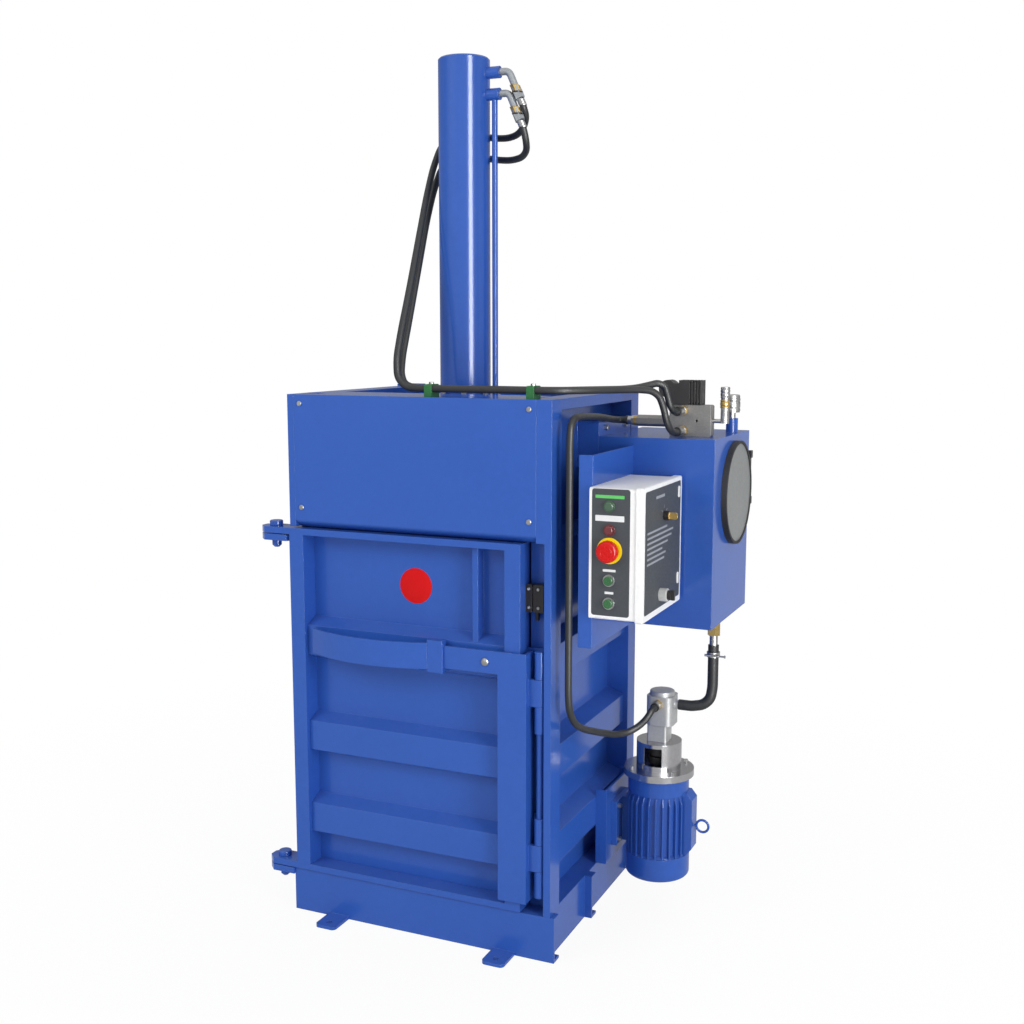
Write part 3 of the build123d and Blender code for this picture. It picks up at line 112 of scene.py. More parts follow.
def mottleGroup():  # the mean of two sizes of noise shifts the colour, the finer one the roughness
    group, start, end = newGroup(
        "mottle",
        [("Colour", colour, (1, 1, 1, 1)), ("Second", colour, (0, 0, 0, 1)),
         ("Place", arrow, (0, 0, 0)), ("Scale", number, 4.0),
         ("Low Rough", number, 0.3), ("High Rough", number, 0.4)],
        [("Colour", colour), ("Rough", number)])
    broad = cloud(group, start["Place"], start["Scale"], *mottleForm["broad"])
    fineScale = mathNode(group, "MULTIPLY", start["Scale"], mottleForm["fineRatio"])
    fine = cloud(group, start["Place"], fineScale, *mottleForm["fine"])
    mean = mathNode(group, "MULTIPLY", mathNode(group, "ADD", broad, fine), 0.5)
    shift = spread(group, mean, mottleForm["colourSpan"])
    feed(group, end["Colour"], mixColour(group, shift, start["Colour"], start["Second"]))
    feed(group, end["Rough"], spread(group, fine, mottleForm["roughSpan"],
                                     (start["Low Rough"], start["High Rough"])))
    return group


edgeForm = dict(samples=4, turnSpan=(0.99, 0.8), chips=(60.0, 4.0, 0.5), chipSpan=(0.4, 0.62),
                steady=0.3, broken=0.7)


def edgeGroup():  # edges are round in the light, and paler where the round normal leaves the face's own: a painted edge highlight in patches, as if rubbed
    group, start, end = newGroup(
        "softEdge",
        [("Colour", colour, (1, 1, 1, 1)), ("Edge Colour", colour, (1, 1, 1, 1)),
         ("Place", arrow, (0, 0, 0)), ("Radius", number, 0.002), ("Sheen And Wear", number, 0.5)],
        [("Colour", colour), ("Normal", arrow)])
    rounded = addNode(group, "ShaderNodeBevel", {"Radius": start["Radius"]},
                      samples=edgeForm["samples"])
    facing = addNode(group, "ShaderNodeNewGeometry")
    along = addNode(group, "ShaderNodeVectorMath", operation="DOT_PRODUCT")
    feed(group, along.inputs[0], rounded.outputs["Normal"])
    feed(group, along.inputs[1], facing.outputs["Normal"])
    turn = spread(group, along.outputs["Value"], edgeForm["turnSpan"])
    patchy = spread(group, cloud(group, start["Place"], *edgeForm["chips"]), edgeForm["chipSpan"])
    sheenAndWearPatches = mathNode(group, "ADD", mathNode(group, "MULTIPLY", patchy, edgeForm["broken"]),
                    edgeForm["steady"])
    # the share of the paler edge tone: painted edge highlight, in patches as if rubbed
    share = mathNode(group, "MULTIPLY", mathNode(group, "MULTIPLY", turn, start["Sheen And Wear"]), sheenAndWearPatches)
    feed(group, end["Colour"], mixColour(group, share, start["Colour"], start["Edge Colour"]))
    feed(group, end["Normal"], rounded.outputs["Normal"])
    return group


dustForm = dict(upSpan=(0.3, 0.95), cloud=(9.0, 6.0, 0.65), tone=(196, 194, 188))


def dustGroup():  # a thin pale film: how far a face looks up, times noise, times the amount
    group, start, end = newGroup(
        "dustFilm",
        [("Colour", colour, (1, 1, 1, 1)), ("Place", arrow, (0, 0, 0)), ("Amount", number, 0.1)],
        [("Colour", colour), ("Film", number)])
    facing = addNode(group, "ShaderNodeNewGeometry")
    parts = addNode(group, "ShaderNodeSeparateXYZ", {"Vector": facing.outputs["Normal"]})
    lying = spread(group, parts.outputs["Z"], dustForm["upSpan"])
    broken = mathNode(group, "MULTIPLY", lying, cloud(group, start["Place"], *dustForm["cloud"]))
    film = mathNode(group, "MULTIPLY", broken, start["Amount"], clamp=True)
    feed(group, end["Film"], film)
    feed(group, end["Colour"], mixColour(group, film, start["Colour"], tone(*dustForm["tone"])))
    return group


grainForm = dict(detail=3.0, roughness=0.6)


def grainGroup():  # height of a skin: noise on places times a stretch, as even grain or drawn streaks
    group, start, end = newGroup(
        "surfaceGrain",
        [("Place", arrow, (0, 0, 0)), ("Stretch", arrow, (1, 1, 1)), ("Scale", number, 300.0)],
        [("Height", number)])
    drawn = addNode(group, "ShaderNodeVectorMath", operation="MULTIPLY")
    feed(group, drawn.inputs[0], start["Place"])
    feed(group, drawn.inputs[1], start["Stretch"])
    feed(group, end["Height"], cloud(group, drawn.outputs[0], start["Scale"], **grainForm))
    return group


mottle, softEdge, dustFilm, surfaceGrain = mottleGroup(), edgeGroup(), dustGroup(), grainGroup()

# One recipe per finish: tones as on screen, edge radius in metres, noise scales in cells to the metre;
# the edge tone is a painted edge highlight, in patches as if rubbed
finishes = {
    "blueEnamel": dict(
        base=(46, 88, 173), second=(44, 85, 169), edge=(88, 126, 200), sheenAndWear=0.3, radius=0.003,
        scale=3.0, rough=(0.15, 0.19), grain=90.0, bump=0.004, dust=0.05, index=1.42),
    "zincSteel": dict(
        base=(188, 188, 186), second=(158, 158, 160), edge=(225, 225, 224), sheenAndWear=0.5, radius=0.0008,
        scale=22.0, rough=(0.24, 0.40), grain=700.0, bump=0.05, metallic=1.0),
    "chromedSteel": dict(
        base=(222, 224, 226), second=(205, 208, 212), edge=(235, 235, 235), sheenAndWear=0.2, radius=0.001,
        scale=8.0, rough=(0.06, 0.14), grain=300.0, stretch=(1, 1, 14), bump=0.02, metallic=1.0),
    "machinedAluminium": dict(
        base=(196, 196, 198), second=(186, 186, 189), edge=(224, 224, 225), sheenAndWear=0.5, radius=0.0015,
        scale=5.0, rough=(0.17, 0.24), grain=900.0, stretch=(0.02, 0.02, 1), bump=0.02, metallic=1.0),
    "castAluminium": dict(
        base=(180, 181, 181), second=(170, 171, 172), edge=(210, 210, 210), sheenAndWear=0.4, radius=0.003,
        scale=9.0, rough=(0.36, 0.46), grain=420.0, bump=0.06, metallic=0.4),
    "valveGrey": dict(
        base=(138, 137, 134), second=(120, 119, 118), edge=(176, 175, 172), sheenAndWear=0.5, radius=0.0015,
        scale=14.0, rough=(0.40, 0.55), grain=420.0, stretch=(8, 1, 1), bump=0.08, metallic=0.6),
    "coverGrey": dict(
        base=(143, 146, 146), second=(138, 141, 142), edge=(186, 187, 187), sheenAndWear=0.3, radius=0.001,
        scale=5.0, rough=(0.36, 0.44), grain=300.0, bump=0.02, metallic=0.45),
    "brassFitting": dict(
        base=(184, 158, 98), second=(160, 134, 78), edge=(214, 194, 140), sheenAndWear=0.5, radius=0.001,
        scale=26.0, rough=(0.34, 0.46), grain=600.0, bump=0.05, metallic=0.8),
    "blackHose": dict(
        base=(36, 38, 40), second=(29, 30, 32), edge=(56, 58, 60), sheenAndWear=0.1, radius=0.001,
        scale=14.0, rough=(0.42, 0.56), grain=900.0, bump=0.10, dust=0.06),
    "sealRubber": dict(
        base=(24, 24, 26), second=(18, 18, 20), edge=(40, 40, 42), sheenAndWear=0.2, radius=0.001,
        scale=14.0, rough=(0.50, 0.66), grain=900.0, bump=0.08),
    "blackPlastic": dict(
        base=(34, 33, 33), second=(27, 26, 27), edge=(62, 61, 60), sheenAndWear=0.3, radius=0.001,
        scale=18.0, rough=(0.38, 0.50), grain=1100.0, bump=0.12),
    "solenoidPlastic": dict(
        base=(40, 39, 39), second=(33, 32, 33), edge=(70, 68, 66), sheenAndWear=0.3, radius=0.0015,
        scale=18.0, rough=(0.40, 0.54), grain=1000.0, bump=0.12),
    "clipGreen": dict(
        base=(30, 108, 52), second=(24, 92, 44), edge=(70, 150, 92), sheenAndWear=0.4, radius=0.0015,
        scale=18.0, rough=(0.38, 0.52), grain=900.0, bump=0.10),
    "boxWhite": dict(
        base=(236, 236, 236), second=(230, 230, 231), edge=(244, 244, 244), sheenAndWear=0.3, radius=0.002,
        scale=5.0, rough=(0.34, 0.46), grain=1200.0, bump=0.07, dust=0.08),
    "overlayGrey": dict(
        base=(69, 73, 78), second=(65, 69, 74), edge=(92, 95, 101), sheenAndWear=0.3, radius=0.0006,
        scale=9.0, rough=(0.46, 0.56), grain=1500.0, bump=0.03, index=1.35),
    "printWhite": dict(
        base=(226, 227, 228), second=(216, 217, 219), edge=(236, 236, 236), sheenAndWear=0.2, radius=0.0004,
        scale=30.0, rough=(0.36, 0.46), grain=1500.0, bump=0.03),
    "printGreen": dict(
        base=(98, 200, 104), second=(86, 186, 94), edge=(140, 222, 146), sheenAndWear=0.2, radius=0.0004,
        scale=30.0, rough=(0.36, 0.46), grain=1500.0, bump=0.03),
    "collarYellow": dict(
        base=(255, 222, 8), second=(250, 214, 6), edge=(255, 230, 90), sheenAndWear=0.2, radius=0.0008,
        scale=22.0, rough=(0.36, 0.46), grain=900.0, bump=0.03, index=1.35),
    "signRed": dict(
        base=(208, 4, 8), second=(200, 3, 7), edge=(220, 36, 40), sheenAndWear=0.2, radius=0.0006,
        scale=16.0, rough=(0.40, 0.50), grain=1200.0, bump=0.02, index=1.3),
    "buttonRed": dict(
        base=(206, 14, 12), second=(190, 10, 10), edge=(226, 50, 44), sheenAndWear=0.2, radius=0.001,
        scale=22.0, rough=(0.22, 0.30), grain=700.0, bump=0.02, index=1.38),
    "buttonGreen": dict(
        base=(46, 104, 60), second=(38, 90, 50), edge=(90, 150, 102), sheenAndWear=0.2, radius=0.001,
        scale=22.0, rough=(0.20, 0.32), grain=700.0, bump=0.03, coat=0.3),
    "lampRed": dict(
        base=(112, 44, 48), second=(98, 36, 42), edge=(150, 84, 86), sheenAndWear=0.2, radius=0.001,
        scale=22.0, rough=(0.18, 0.28), grain=700.0, bump=0.02, coat=0.4),
    "lampGreen": dict(
        base=(64, 92, 72), second=(54, 80, 62), edge=(110, 140, 116), sheenAndWear=0.2, radius=0.001,
        scale=22.0, rough=(0.18, 0.28), grain=700.0, bump=0.02, coat=0.4),
    "switchGrey": dict(
        base=(196, 197, 196), second=(182, 183, 184), edge=(220, 220, 220), sheenAndWear=0.2, radius=0.001,
        scale=22.0, rough=(0.34, 0.44), grain=900.0, bump=0.04),
    "elbowGrey": dict(
        base=(158, 163, 168), second=(142, 147, 153), edge=(196, 200, 204), sheenAndWear=0.4, radius=0.001,
        scale=20.0, rough=(0.36, 0.48), grain=600.0, bump=0.05, metallic=0.7),
    "printGrey": dict(
        base=(150, 153, 160), second=(140, 143, 150), edge=(176, 178, 184), sheenAndWear=0.2, radius=0.0004,
        scale=30.0, rough=(0.36, 0.46), grain=1500.0, bump=0.03),
}
# What a recipe leaves out; filmRough is how much the dust film adds to the roughness
plainFinish = dict(metallic=0.0, index=1.5, coat=0.0, coatRough=0.12, dust=0.02, stretch=(1, 1, 1),
                   bumpDepth=0.001, filmRough=0.5)
finishes = {name: {**plainFinish, **recipe} for name, recipe in finishes.items()}


def useGroup(tree, group, values):  # the outputs of a shared group, placed with its own values
    return addNode(tree, "ShaderNodeGroup", values, node_tree=group).outputs


def makeFinish(name, recipe):  # mottled colour, then its edges, then dust; grain on the rounded normal
    made = bpy.data.materials.new(name)
    made.use_nodes = True
    tree = made.node_tree
    shader = tree.nodes["Principled BSDF"]
    place = addNode(tree, "ShaderNodeTexCoord").outputs["Object"]
    base = useGroup(tree, mottle, {"Colour": tone(*recipe["base"]), "Second": tone(*recipe["second"]),
                                   "Place": place, "Scale": recipe["scale"],
                                   "Low Rough": recipe["rough"][0], "High Rough": recipe["rough"][1]})
    edge = useGroup(tree, softEdge, {"Colour": base["Colour"], "Edge Colour": tone(*recipe["edge"]),
                                     "Place": place, "Radius": recipe["radius"],
                                     "Sheen And Wear": recipe["sheenAndWear"]})
    film = useGroup(tree, dustFilm, {"Colour": edge["Colour"], "Place": place,
                                     "Amount": recipe["dust"]})
    grain = useGroup(tree, surfaceGrain, {"Place": place, "Stretch": recipe["stretch"],
                                          "Scale": recipe["grain"]})
    bump = addNode(tree, "ShaderNodeBump", {"Strength": recipe["bump"], "Distance": recipe["bumpDepth"],
                                            "Height": grain["Height"], "Normal": edge["Normal"]})
    dusty = mathNode(tree, "MULTIPLY", film["Film"], recipe["filmRough"])
    rough = mathNode(tree, "ADD", base["Rough"], dusty, clamp=True)
    for label, given in {"Metallic": recipe["metallic"], "IOR": recipe["index"],
                         "Coat Weight": recipe["coat"], "Coat Roughness": recipe["coatRough"],
                         "Base Color": film["Colour"], "Roughness": rough,
                         "Normal": bump.outputs["Normal"]}.items():
        feed(tree, shader.inputs[label], given)
    return made


materials = {name: makeFinish(name, recipe) for name, recipe in finishes.items()}


def layered(name, recipe, layers):  # one node in several finishes, each layer above all its limits
    made = makeFinish(name, finishes[recipe])
    tree = made.node_tree
    shader = tree.nodes["Principled BSDF"]
    parts = addNode(tree, "ShaderNodeSeparateXYZ",
                    {"Vector": addNode(tree, "ShaderNodeTexCoord").outputs["Object"]})
    metal = finishes[recipe]["metallic"]
    for other, limits in layers.items():
        share = 1.0
        for axis, level in limits.items():
            passed = mathNode(tree, "GREATER_THAN", parts.outputs[axis], level)
            share = mathNode(tree, "MULTIPLY", share, passed)
        below = shader.inputs["Base Color"].links[0].from_socket
        feed(tree, shader.inputs["Base Color"],
             mixColour(tree, share, below, tone(*finishes[other]["base"])))
        kept = mathNode(tree, "MULTIPLY", metal, mathNode(tree, "SUBTRACT", 1.0, share))
        gained = mathNode(tree, "MULTIPLY", share, finishes[other]["metallic"])
        metal = mathNode(tree, "ADD", kept, gained)
    feed(tree, shader.inputs["Metallic"], metal)
    return made


# Nodes in more than one finish: the first one, then what takes over above these places, in metres
layeredNodes = {
    "lampLenses": ("lampRed", {"lampGreen": {"Z": 1.348}}),
    "suctionMetals": ("zincSteel", {"brassFitting": {"Z": 0.909}}),
    "deviceMetals": ("zincSteel", {"switchGrey": {"X": 0.705},
                                   "blackPlastic": {"X": 0.705, "Z": 1.25}}),
    "fittingMetals": ("zincSteel", {"elbowGrey": {"Z": 2.0}}),
}
for name, (recipe, layers) in layeredNodes.items():
    materials[name] = layered(name, recipe, layers)

# Every node is blue enamel but these
finishNodes = {
    "blackPlastic": ("interlock_switch", "interlock_actuator", "level_gauge", "isolator_knob",
                     "coupling"),
    "zincSteel": ("cylinder_gland", "piston", "breather", "frame_bolts"),
    "chromedSteel": ("ram_rod",),
    "fittingMetals": ("hose_fittings",),
    "blackHose": ("cap_hose", "rod_hose", "suction_hose", "pressure_hose"),
    "clipGreen": ("hose_clips",),
    "sealRubber": ("manhole_seal",),
    "coverGrey": ("manhole_cover",),
    "valveGrey": ("manifold", "line_filter"),
    "solenoidPlastic": ("solenoid_valve",),
    "suctionMetals": ("suction_fitting",),
    "boxWhite": ("control_box", "control_lid"),
    "lampLenses": ("indicator_lamps",),
    "collarYellow": ("estop_collar",),
    "deviceMetals": ("device_rings",),
    "buttonRed": ("estop_button",),
    "buttonGreen": ("up_button", "down_button"),
    "brassFitting": ("selector_key",),
    "machinedAluminium": ("bellhousing",),
    "castAluminium": ("gear_pump",),
}
nodeFinish = {node: finish for finish, nodes in finishNodes.items() for node in nodes}
for name, node in cadNodes.items():
    finish = materials[nodeFinish.get(name, "blueEnamel")]
    if not node.material_slots:
        node.data.materials.append(finish)
    for place in node.material_slots:
        place.material = finish
print("finishes on", len(cadNodes), "nodes")

sharpAngle = math.radians(35)  # edges that turn more than this stay sharp


def ringQuads(ringCount, around):  # each point joined to the next one round and to the next ring
    i, j = np.meshgrid(np.arange(ringCount - 1), np.arange(around), indexing="ij")
    k = (j + 1) % around
    corners = [i * around + j, i * around + k, (i + 1) * around + k, (i + 1) * around + j]
    return np.stack(corners, -1).reshape(-1, 4)


def meshPiece(name, rows, finish, body, capped=True):  # rows: rings of points along the piece
    ringCount, around = rows.shape[:2]
    faces = ringQuads(ringCount, around).tolist()
    if capped:
        last = (ringCount - 1) * around
        faces += [list(range(around - 1, -1, -1)), list(range(last, last + around))]
    mesh = bpy.data.meshes.new(name)
    mesh.from_pydata(rows.reshape(-1, 3).tolist(), [], faces)
    mesh.update()
    mesh.shade_smooth()
    mesh.set_sharp_from_angle(angle=sharpAngle)
    piece = bpy.data.objects.new(name, mesh)
    bpy.context.scene.collection.objects.link(piece)
    mesh.materials.append(materials[finish])
    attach(piece, body)


nearUpright = 0.9  # a way steeper than this takes the X axis as its side


def axisFrame(way):  # the way at length 1, and two directions square to it by cross products
    way = np.asarray(way, float) / np.linalg.norm(way)
    side = np.cross(way, (0, 0, 1.0)) if abs(way[2]) < nearUpright else np.array([1.0, 0, 0])
    side = side / np.linalg.norm(side)
    return way, side, np.cross(way, side)


def circleWays(way, around):
    # unit vectors round the way: the angle's cosine times one side plus its sine times the other
    way, side, other = axisFrame(way)
    angle = np.linspace(0, 2 * np.pi, around, endpoint=False)
    return angle, way, np.cos(angle)[:, None] * side + np.sin(angle)[:, None] * other


def turned(start, way, profile, around=48, shape=None):
    # a profile of (distance along, radius) turned about an axis; shape scales the radius by the angle
    angle, way, circle = circleWays(way, around)
    along, radius = np.asarray(profile, float).T
    swell = np.ones_like(angle) if shape is None else shape(angle)
    reach = radius[:, None] * swell[None, :]
    return np.asarray(start, float) + along[:, None, None] * way + reach[..., None] * circle


cornerEase = 0.985  # share of the corner radius that stays


def hexagon(angle):  # a hexagon's radius against its corner radius: flat over cosine, corners eased
    flat, sector = np.cos(np.pi / 6), (angle + np.pi / 6) % (np.pi / 3) - np.pi / 6
    return np.minimum(flat / np.cos(sector), cornerEase)


plateForm = dict(edge=0.5, bend=0.3, rim=3, middle=0.3, cornerSteps=9, cornerGap=0.02)


def plate(centre, across, up, size, corner, rise):
    # a rounded rectangle: its outline climbs from the seat, turns over a small edge and closes inwards
    across, up = np.asarray(across, float), np.asarray(up, float)
    edge, bend = rise * plateForm["edge"], plateForm["bend"]
    quarter = np.linspace(plateForm["cornerGap"], np.pi / 2 - plateForm["cornerGap"],
                          plateForm["cornerSteps"])
    angle = (quarter[None, :] + np.arange(4)[:, None] * np.pi / 2).ravel()
    half = np.asarray(size) / 2
    x = np.sign(np.cos(angle)) * (half[0] - corner) + corner * np.cos(angle)
    y = np.sign(np.sin(angle)) * (half[1] - corner) + corner * np.sin(angle)
    inset = np.array([0, 0, edge * bend, edge, edge * plateForm["rim"],
                      min(size) * plateForm["middle"]])
    height = np.array([0, rise - edge, rise - edge * bend, rise, rise, rise])
    shrinkX, shrinkY = 1 - inset[:, None] / half[0], 1 - inset[:, None] / half[1]
    flat = (x * shrinkX)[..., None] * across + (y * shrinkY)[..., None] * up
    return np.asarray(centre, float) + flat + height[:, None, None] * np.cross(across, up)


# Front cover: a folded lip under its lower edge, one bent section drawn along the width
coverLip = dict(x=(-0.416, 0.390), stations=25, thick=(0.0016, 0.00096),
                fold=((-0.3808, 1.2816), (-0.3806, 1.2790), (-0.3790, 1.2765), (-0.3570, 1.2612),
                      (-0.3545, 1.2604)))
fold = np.array(coverLip["fold"])
section = np.vstack([fold, fold[::-1] + coverLip["thick"]])
x, y = np.meshgrid(np.linspace(*coverLip["x"], coverLip["stations"]), section[:, 0], indexing="ij")
rows = np.stack([x, y, np.broadcast_to(section[:, 1], x.shape)], -1)
meshPiece("cover_lip", rows, "blueEnamel", "frame")
print("cover lip made")

# Control box: overlays on its front and its lid; middles are along the panel and up
frontPanel = dict(across=(1, 0, 0), face=(0, -0.382, 0), middle=(0.6170, 1.2510), size=(0.112, 0.359),
                  corner=0.008, rise=0.0008)
lidPanel = dict(across=(0, 1, 0), face=(0.713, 0, 0), middle=(-0.202, 1.2495), size=(0.336, 0.348),
                corner=0.008, rise=0.0008)
upward = np.array((0, 0, 1.0))


def onPanel(panel, name, middle, size, corner, finish, rise, lift):  # a plate lifted off a panel's face
    across = np.array(panel["across"], float)
    centre = panel["face"] + middle[0] * across + middle[1] * upward + lift * np.cross(across, upward)
    meshPiece(name, plate(centre, across, upward, size, corner, rise), finish, "frame")


onPanel(frontPanel, "control_front_overlay", frontPanel["middle"], frontPanel["size"],
        frontPanel["corner"], "overlayGrey", frontPanel["rise"], 0.0)
frontMarks = dict(x=0.6138, corner=0.0015, rise=0.0004, fields={
    "front_green_strip": (1.4085, (0.085, 0.009), "printGreen"),
    "front_white_field": (1.3480, (0.085, 0.0165), "printWhite"),
    "front_up_field": (1.2010, (0.038, 0.007), "printWhite"),
    "front_down_field": (1.1375, (0.026, 0.007), "printWhite")})
for name, (z, size, finish) in frontMarks["fields"].items():
    onPanel(frontPanel, name, (frontMarks["x"], z), size, frontMarks["corner"], finish,
            frontMarks["rise"], frontPanel["rise"])

onPanel(lidPanel, "control_lid_overlay", lidPanel["middle"], lidPanel["size"], lidPanel["corner"],
        "overlayGrey", lidPanel["rise"], 0.0)
ruledLines = dict(left=-0.352, top=1.305, pitch=0.0147, height=0.0060, corner=0.001, rise=0.0003,
                  lengths=(0.185, 0.245, 0.228, 0.192, 0.140, 0.172, 0.160))
for index, length in enumerate(ruledLines["lengths"]):
    middle = (ruledLines["left"] + length / 2, ruledLines["top"] - ruledLines["pitch"] * index)
    onPanel(lidPanel, f"lid_line_{index + 1}", middle, (length, ruledLines["height"]),
            ruledLines["corner"], "printGrey", ruledLines["rise"], lidPanel["rise"])
heading = dict(middle=(-0.235, 1.398), size=(0.080, 0.008), corner=0.0015, rise=0.0003)
onPanel(lidPanel, "lid_heading", heading["middle"], heading["size"], heading["corner"], "printGrey",
        heading["rise"], lidPanel["rise"])
closers = dict(y=-0.056, heights=(1.392, 1.132), size=(0.014, 0.034), corner=0.006, rise=0.004)
for index, z in enumerate(closers["heights"]):
    onPanel(lidPanel, f"lid_closer_{index + 1}", (closers["y"], z), closers["size"], closers["corner"],
            "boxWhite", closers["rise"], lidPanel["rise"])

# Selector ticks: three short bars on a part circle about the switch
ticks = dict(y=-0.196, z=1.338, reach=0.027, size=(0.010, 0.0022), corner=0.0006, rise=0.0003,
             turns=(35, 90, 145))
for index, turn in enumerate(ticks["turns"]):
    cosine, sine = math.cos(math.radians(turn)), math.sin(math.radians(turn))
    centre = (lidPanel["face"][0] + lidPanel["rise"], ticks["y"] + ticks["reach"] * cosine,
              ticks["z"] + ticks["reach"] * sine)
    rows = plate(centre, (0, cosine, sine), (0, -sine, cosine), ticks["size"], ticks["corner"],
                 ticks["rise"])
    meshPiece(f"selector_tick_{index + 1}", rows, "printGrey", "frame")
print("control box dressed")

# Heads in shares of height and radius: a dome is a quarter circle, a socket dips again inside its rim
domeForm = dict(steps=9, seat=0.25, tip=0.02)
domeTurn = np.linspace(0, np.pi / 2, domeForm["steps"])
domeRise = domeForm["seat"] + (1 - domeForm["seat"]) * np.sin(domeTurn)
domeReach = np.maximum(np.cos(domeTurn), domeForm["tip"])
headForms = dict(dome=np.vstack([(0, 1), np.column_stack([domeRise, domeReach])]),
                 socket=((0, 1), (0.7, 1), (1, 0.86), (1, 0.52), (0.5, 0.48), (0.5, 0.02)),
                 sixSided=((0, 1), (0.85, 1), (1, 0.88), (1, 0.02)))
outOfFront = (0, -1, 0)


def head(form, sizes):  # a head's shares times its height and radius
    return np.array(headForms[form]) * (sizes["height"], sizes["radius"])


leverBolt = dict(place=(0.239, -0.402, 0.904), radius=0.012, height=0.007)
meshPiece("lever_bolt", turned(leverBolt["place"], outOfFront, head("dome", leverBolt)), "zincSteel",
          "lever")
interlockScrews = dict(face=-0.349, heights=(1.0665, 1.1215), radius=0.0046, height=0.003,
                       across={"frame": 0.3855, "door": 0.3560})
for body, x in interlockScrews["across"].items():
    for index, z in enumerate(interlockScrews["heights"]):
        rows = turned((x, interlockScrews["face"], z), outOfFront, head("socket", interlockScrews))
        meshPiece(f"interlock_screw_{body}_{index + 1}", rows, "zincSteel", body)
clipBolts = dict(places=(0.040, 0.366), y=-0.343, z=1.709, radius=0.0075, height=0.006)
for index, x in enumerate(clipBolts["places"]):
    rows = turned((x, clipBolts["y"], clipBolts["z"]), upward, head("sixSided", clipBolts),
                  shape=hexagon)
    meshPiece(f"clip_bolt_{index + 1}", rows, "zincSteel", "frame")
print("bolts made")


def crimp(length, radius, ridges, depth, steps=10):  # the radius waves with a cosine along the sleeve
    along = np.linspace(0, length, steps * ridges + 1)
    wave = radius * (1 - depth * (0.5 + 0.5 * np.cos(2 * np.pi * ridges * along / length)))
    return np.stack([along, wave], -1)


def sleeve(length, radius, edge):  # a straight sleeve with both ends eased
    return [(0, radius - edge), (edge, radius), (length - edge, radius), (length, radius - edge)]


# Hose ends: a hexagon at the seat and a dark tip where the hose begins
hoseEnds = {"upper_valve": dict(seat=(0.677, 0.100, 1.623), way=(0, -1, 0), reach=0.065),
            "lower_valve": dict(seat=(0.677, 0.100, 1.561), way=(0, -1, 0), reach=0.065),
            "filter": dict(seat=(0.525, 0.120, 1.587), way=(-1, 0, 0), reach=0.036),
            "pump": dict(seat=(0.607, 0.119, 0.676), way=(0, -1, 0), reach=0.036)}
endForm = dict(hexRadius=0.0165, hexLength=0.011, tipRadius=0.0143, tipLength=0.0075, lap=0.0015,
               edge=0.0008)
for name, given in hoseEnds.items():
    seat, way = np.array(given["seat"]), np.array(given["way"])
    rows = turned(seat, way, sleeve(endForm["hexLength"], endForm["hexRadius"], endForm["edge"]),
                  shape=hexagon)
    meshPiece(f"{name}_brass_hexagon", rows, "brassFitting", "frame")
    start = seat + way * (given["reach"] + endForm["lap"] - endForm["tipLength"])
    rows = turned(start, way, sleeve(endForm["tipLength"], endForm["tipRadius"], endForm["edge"]))
    meshPiece(f"{name}_sleeve_tip", rows, "blackPlastic", "frame")

# Elbow ends at the cylinder: a hexagon, a dark ring and a crimped sleeve in a row along the hose
elbowEnds = dict(x=0.189, y=-0.033, heights=(2.560, 2.496), way=(0.037, 0, -0.083), brassFrom=-0.045,
                 brassLength=0.022, brassRadius=0.0165, ringFrom=-0.024, ringLength=0.005,
                 ringRadius=0.0172, crimpLength=0.022, crimpRadius=0.0132, ridges=4, crimpDepth=0.05)
way = np.array(elbowEnds["way"]) / np.linalg.norm(elbowEnds["way"])
for index, z in enumerate(elbowEnds["heights"]):
    end = np.array((elbowEnds["x"], elbowEnds["y"], z))
    rows = turned(end + way * elbowEnds["brassFrom"], way,
                  sleeve(elbowEnds["brassLength"], elbowEnds["brassRadius"], endForm["edge"]),
                  shape=hexagon)
    meshPiece(f"elbow_{index + 1}_brass_hexagon", rows, "brassFitting", "frame")
    rows = turned(end + way * elbowEnds["ringFrom"], way,
                  sleeve(elbowEnds["ringLength"], elbowEnds["ringRadius"], endForm["edge"]))
    meshPiece(f"elbow_{index + 1}_ring", rows, "blackPlastic", "frame")
    rows = turned(end, way, crimp(elbowEnds["crimpLength"], elbowEnds["crimpRadius"],
                                  elbowEnds["ridges"], elbowEnds["crimpDepth"]))
    meshPiece(f"elbow_{index + 1}_crimp", rows, "zincSteel", "frame")


def grooved(length, radius, grooves, depth, steps=12, width=0.012, taper=0.1, taperLength=0.04):
    # a sleeve with turned grooves: the radius dips by a bell curve at each, and tapers at both ends
    along = np.linspace(0, length, steps * grooves + 1)
    dip = np.exp(-((along * grooves / length) % 1 - 0.5) ** 2 / width)
    fromEnd = np.minimum(along, length - along) / (taperLength * length)
    ends = np.minimum(1, 1 - taper + taper * fromEnd)
    return np.stack([along, radius * ends * (1 - depth * dip)], -1)


# Pressure stack and filler cap, in grooved sleeves
stack = dict(x=0.803, y=0.120, depth=0.10,
             brass=dict(low=1.632, length=0.024, radius=0.0150, grooves=2),
             cap=dict(low=1.662, length=0.0325, radius=0.0146, grooves=3))
for name, finish, slot in (("brass", "brassFitting", "brass_fitting"),
                           ("cap", "zincSteel", "bright_steel")):
    part = stack[name]
    rows = turned((stack["x"], stack["y"], part["low"]), upward,
                  grooved(part["length"], part["radius"], part["grooves"], stack["depth"]))
    meshPiece(f"stack_{name}_sleeve", rows, finish, "frame")
filler = dict(x=0.778, y=0.310, low=1.611, length=0.042, radius=0.0252, grooves=2, depth=0.06)
rows = turned((filler["x"], filler["y"], filler["low"]), upward,
              grooved(filler["length"], filler["radius"], filler["grooves"], filler["depth"]))
meshPiece("filler_grip", rows, "zincSteel", "frame")
print("hose ends and caps made")

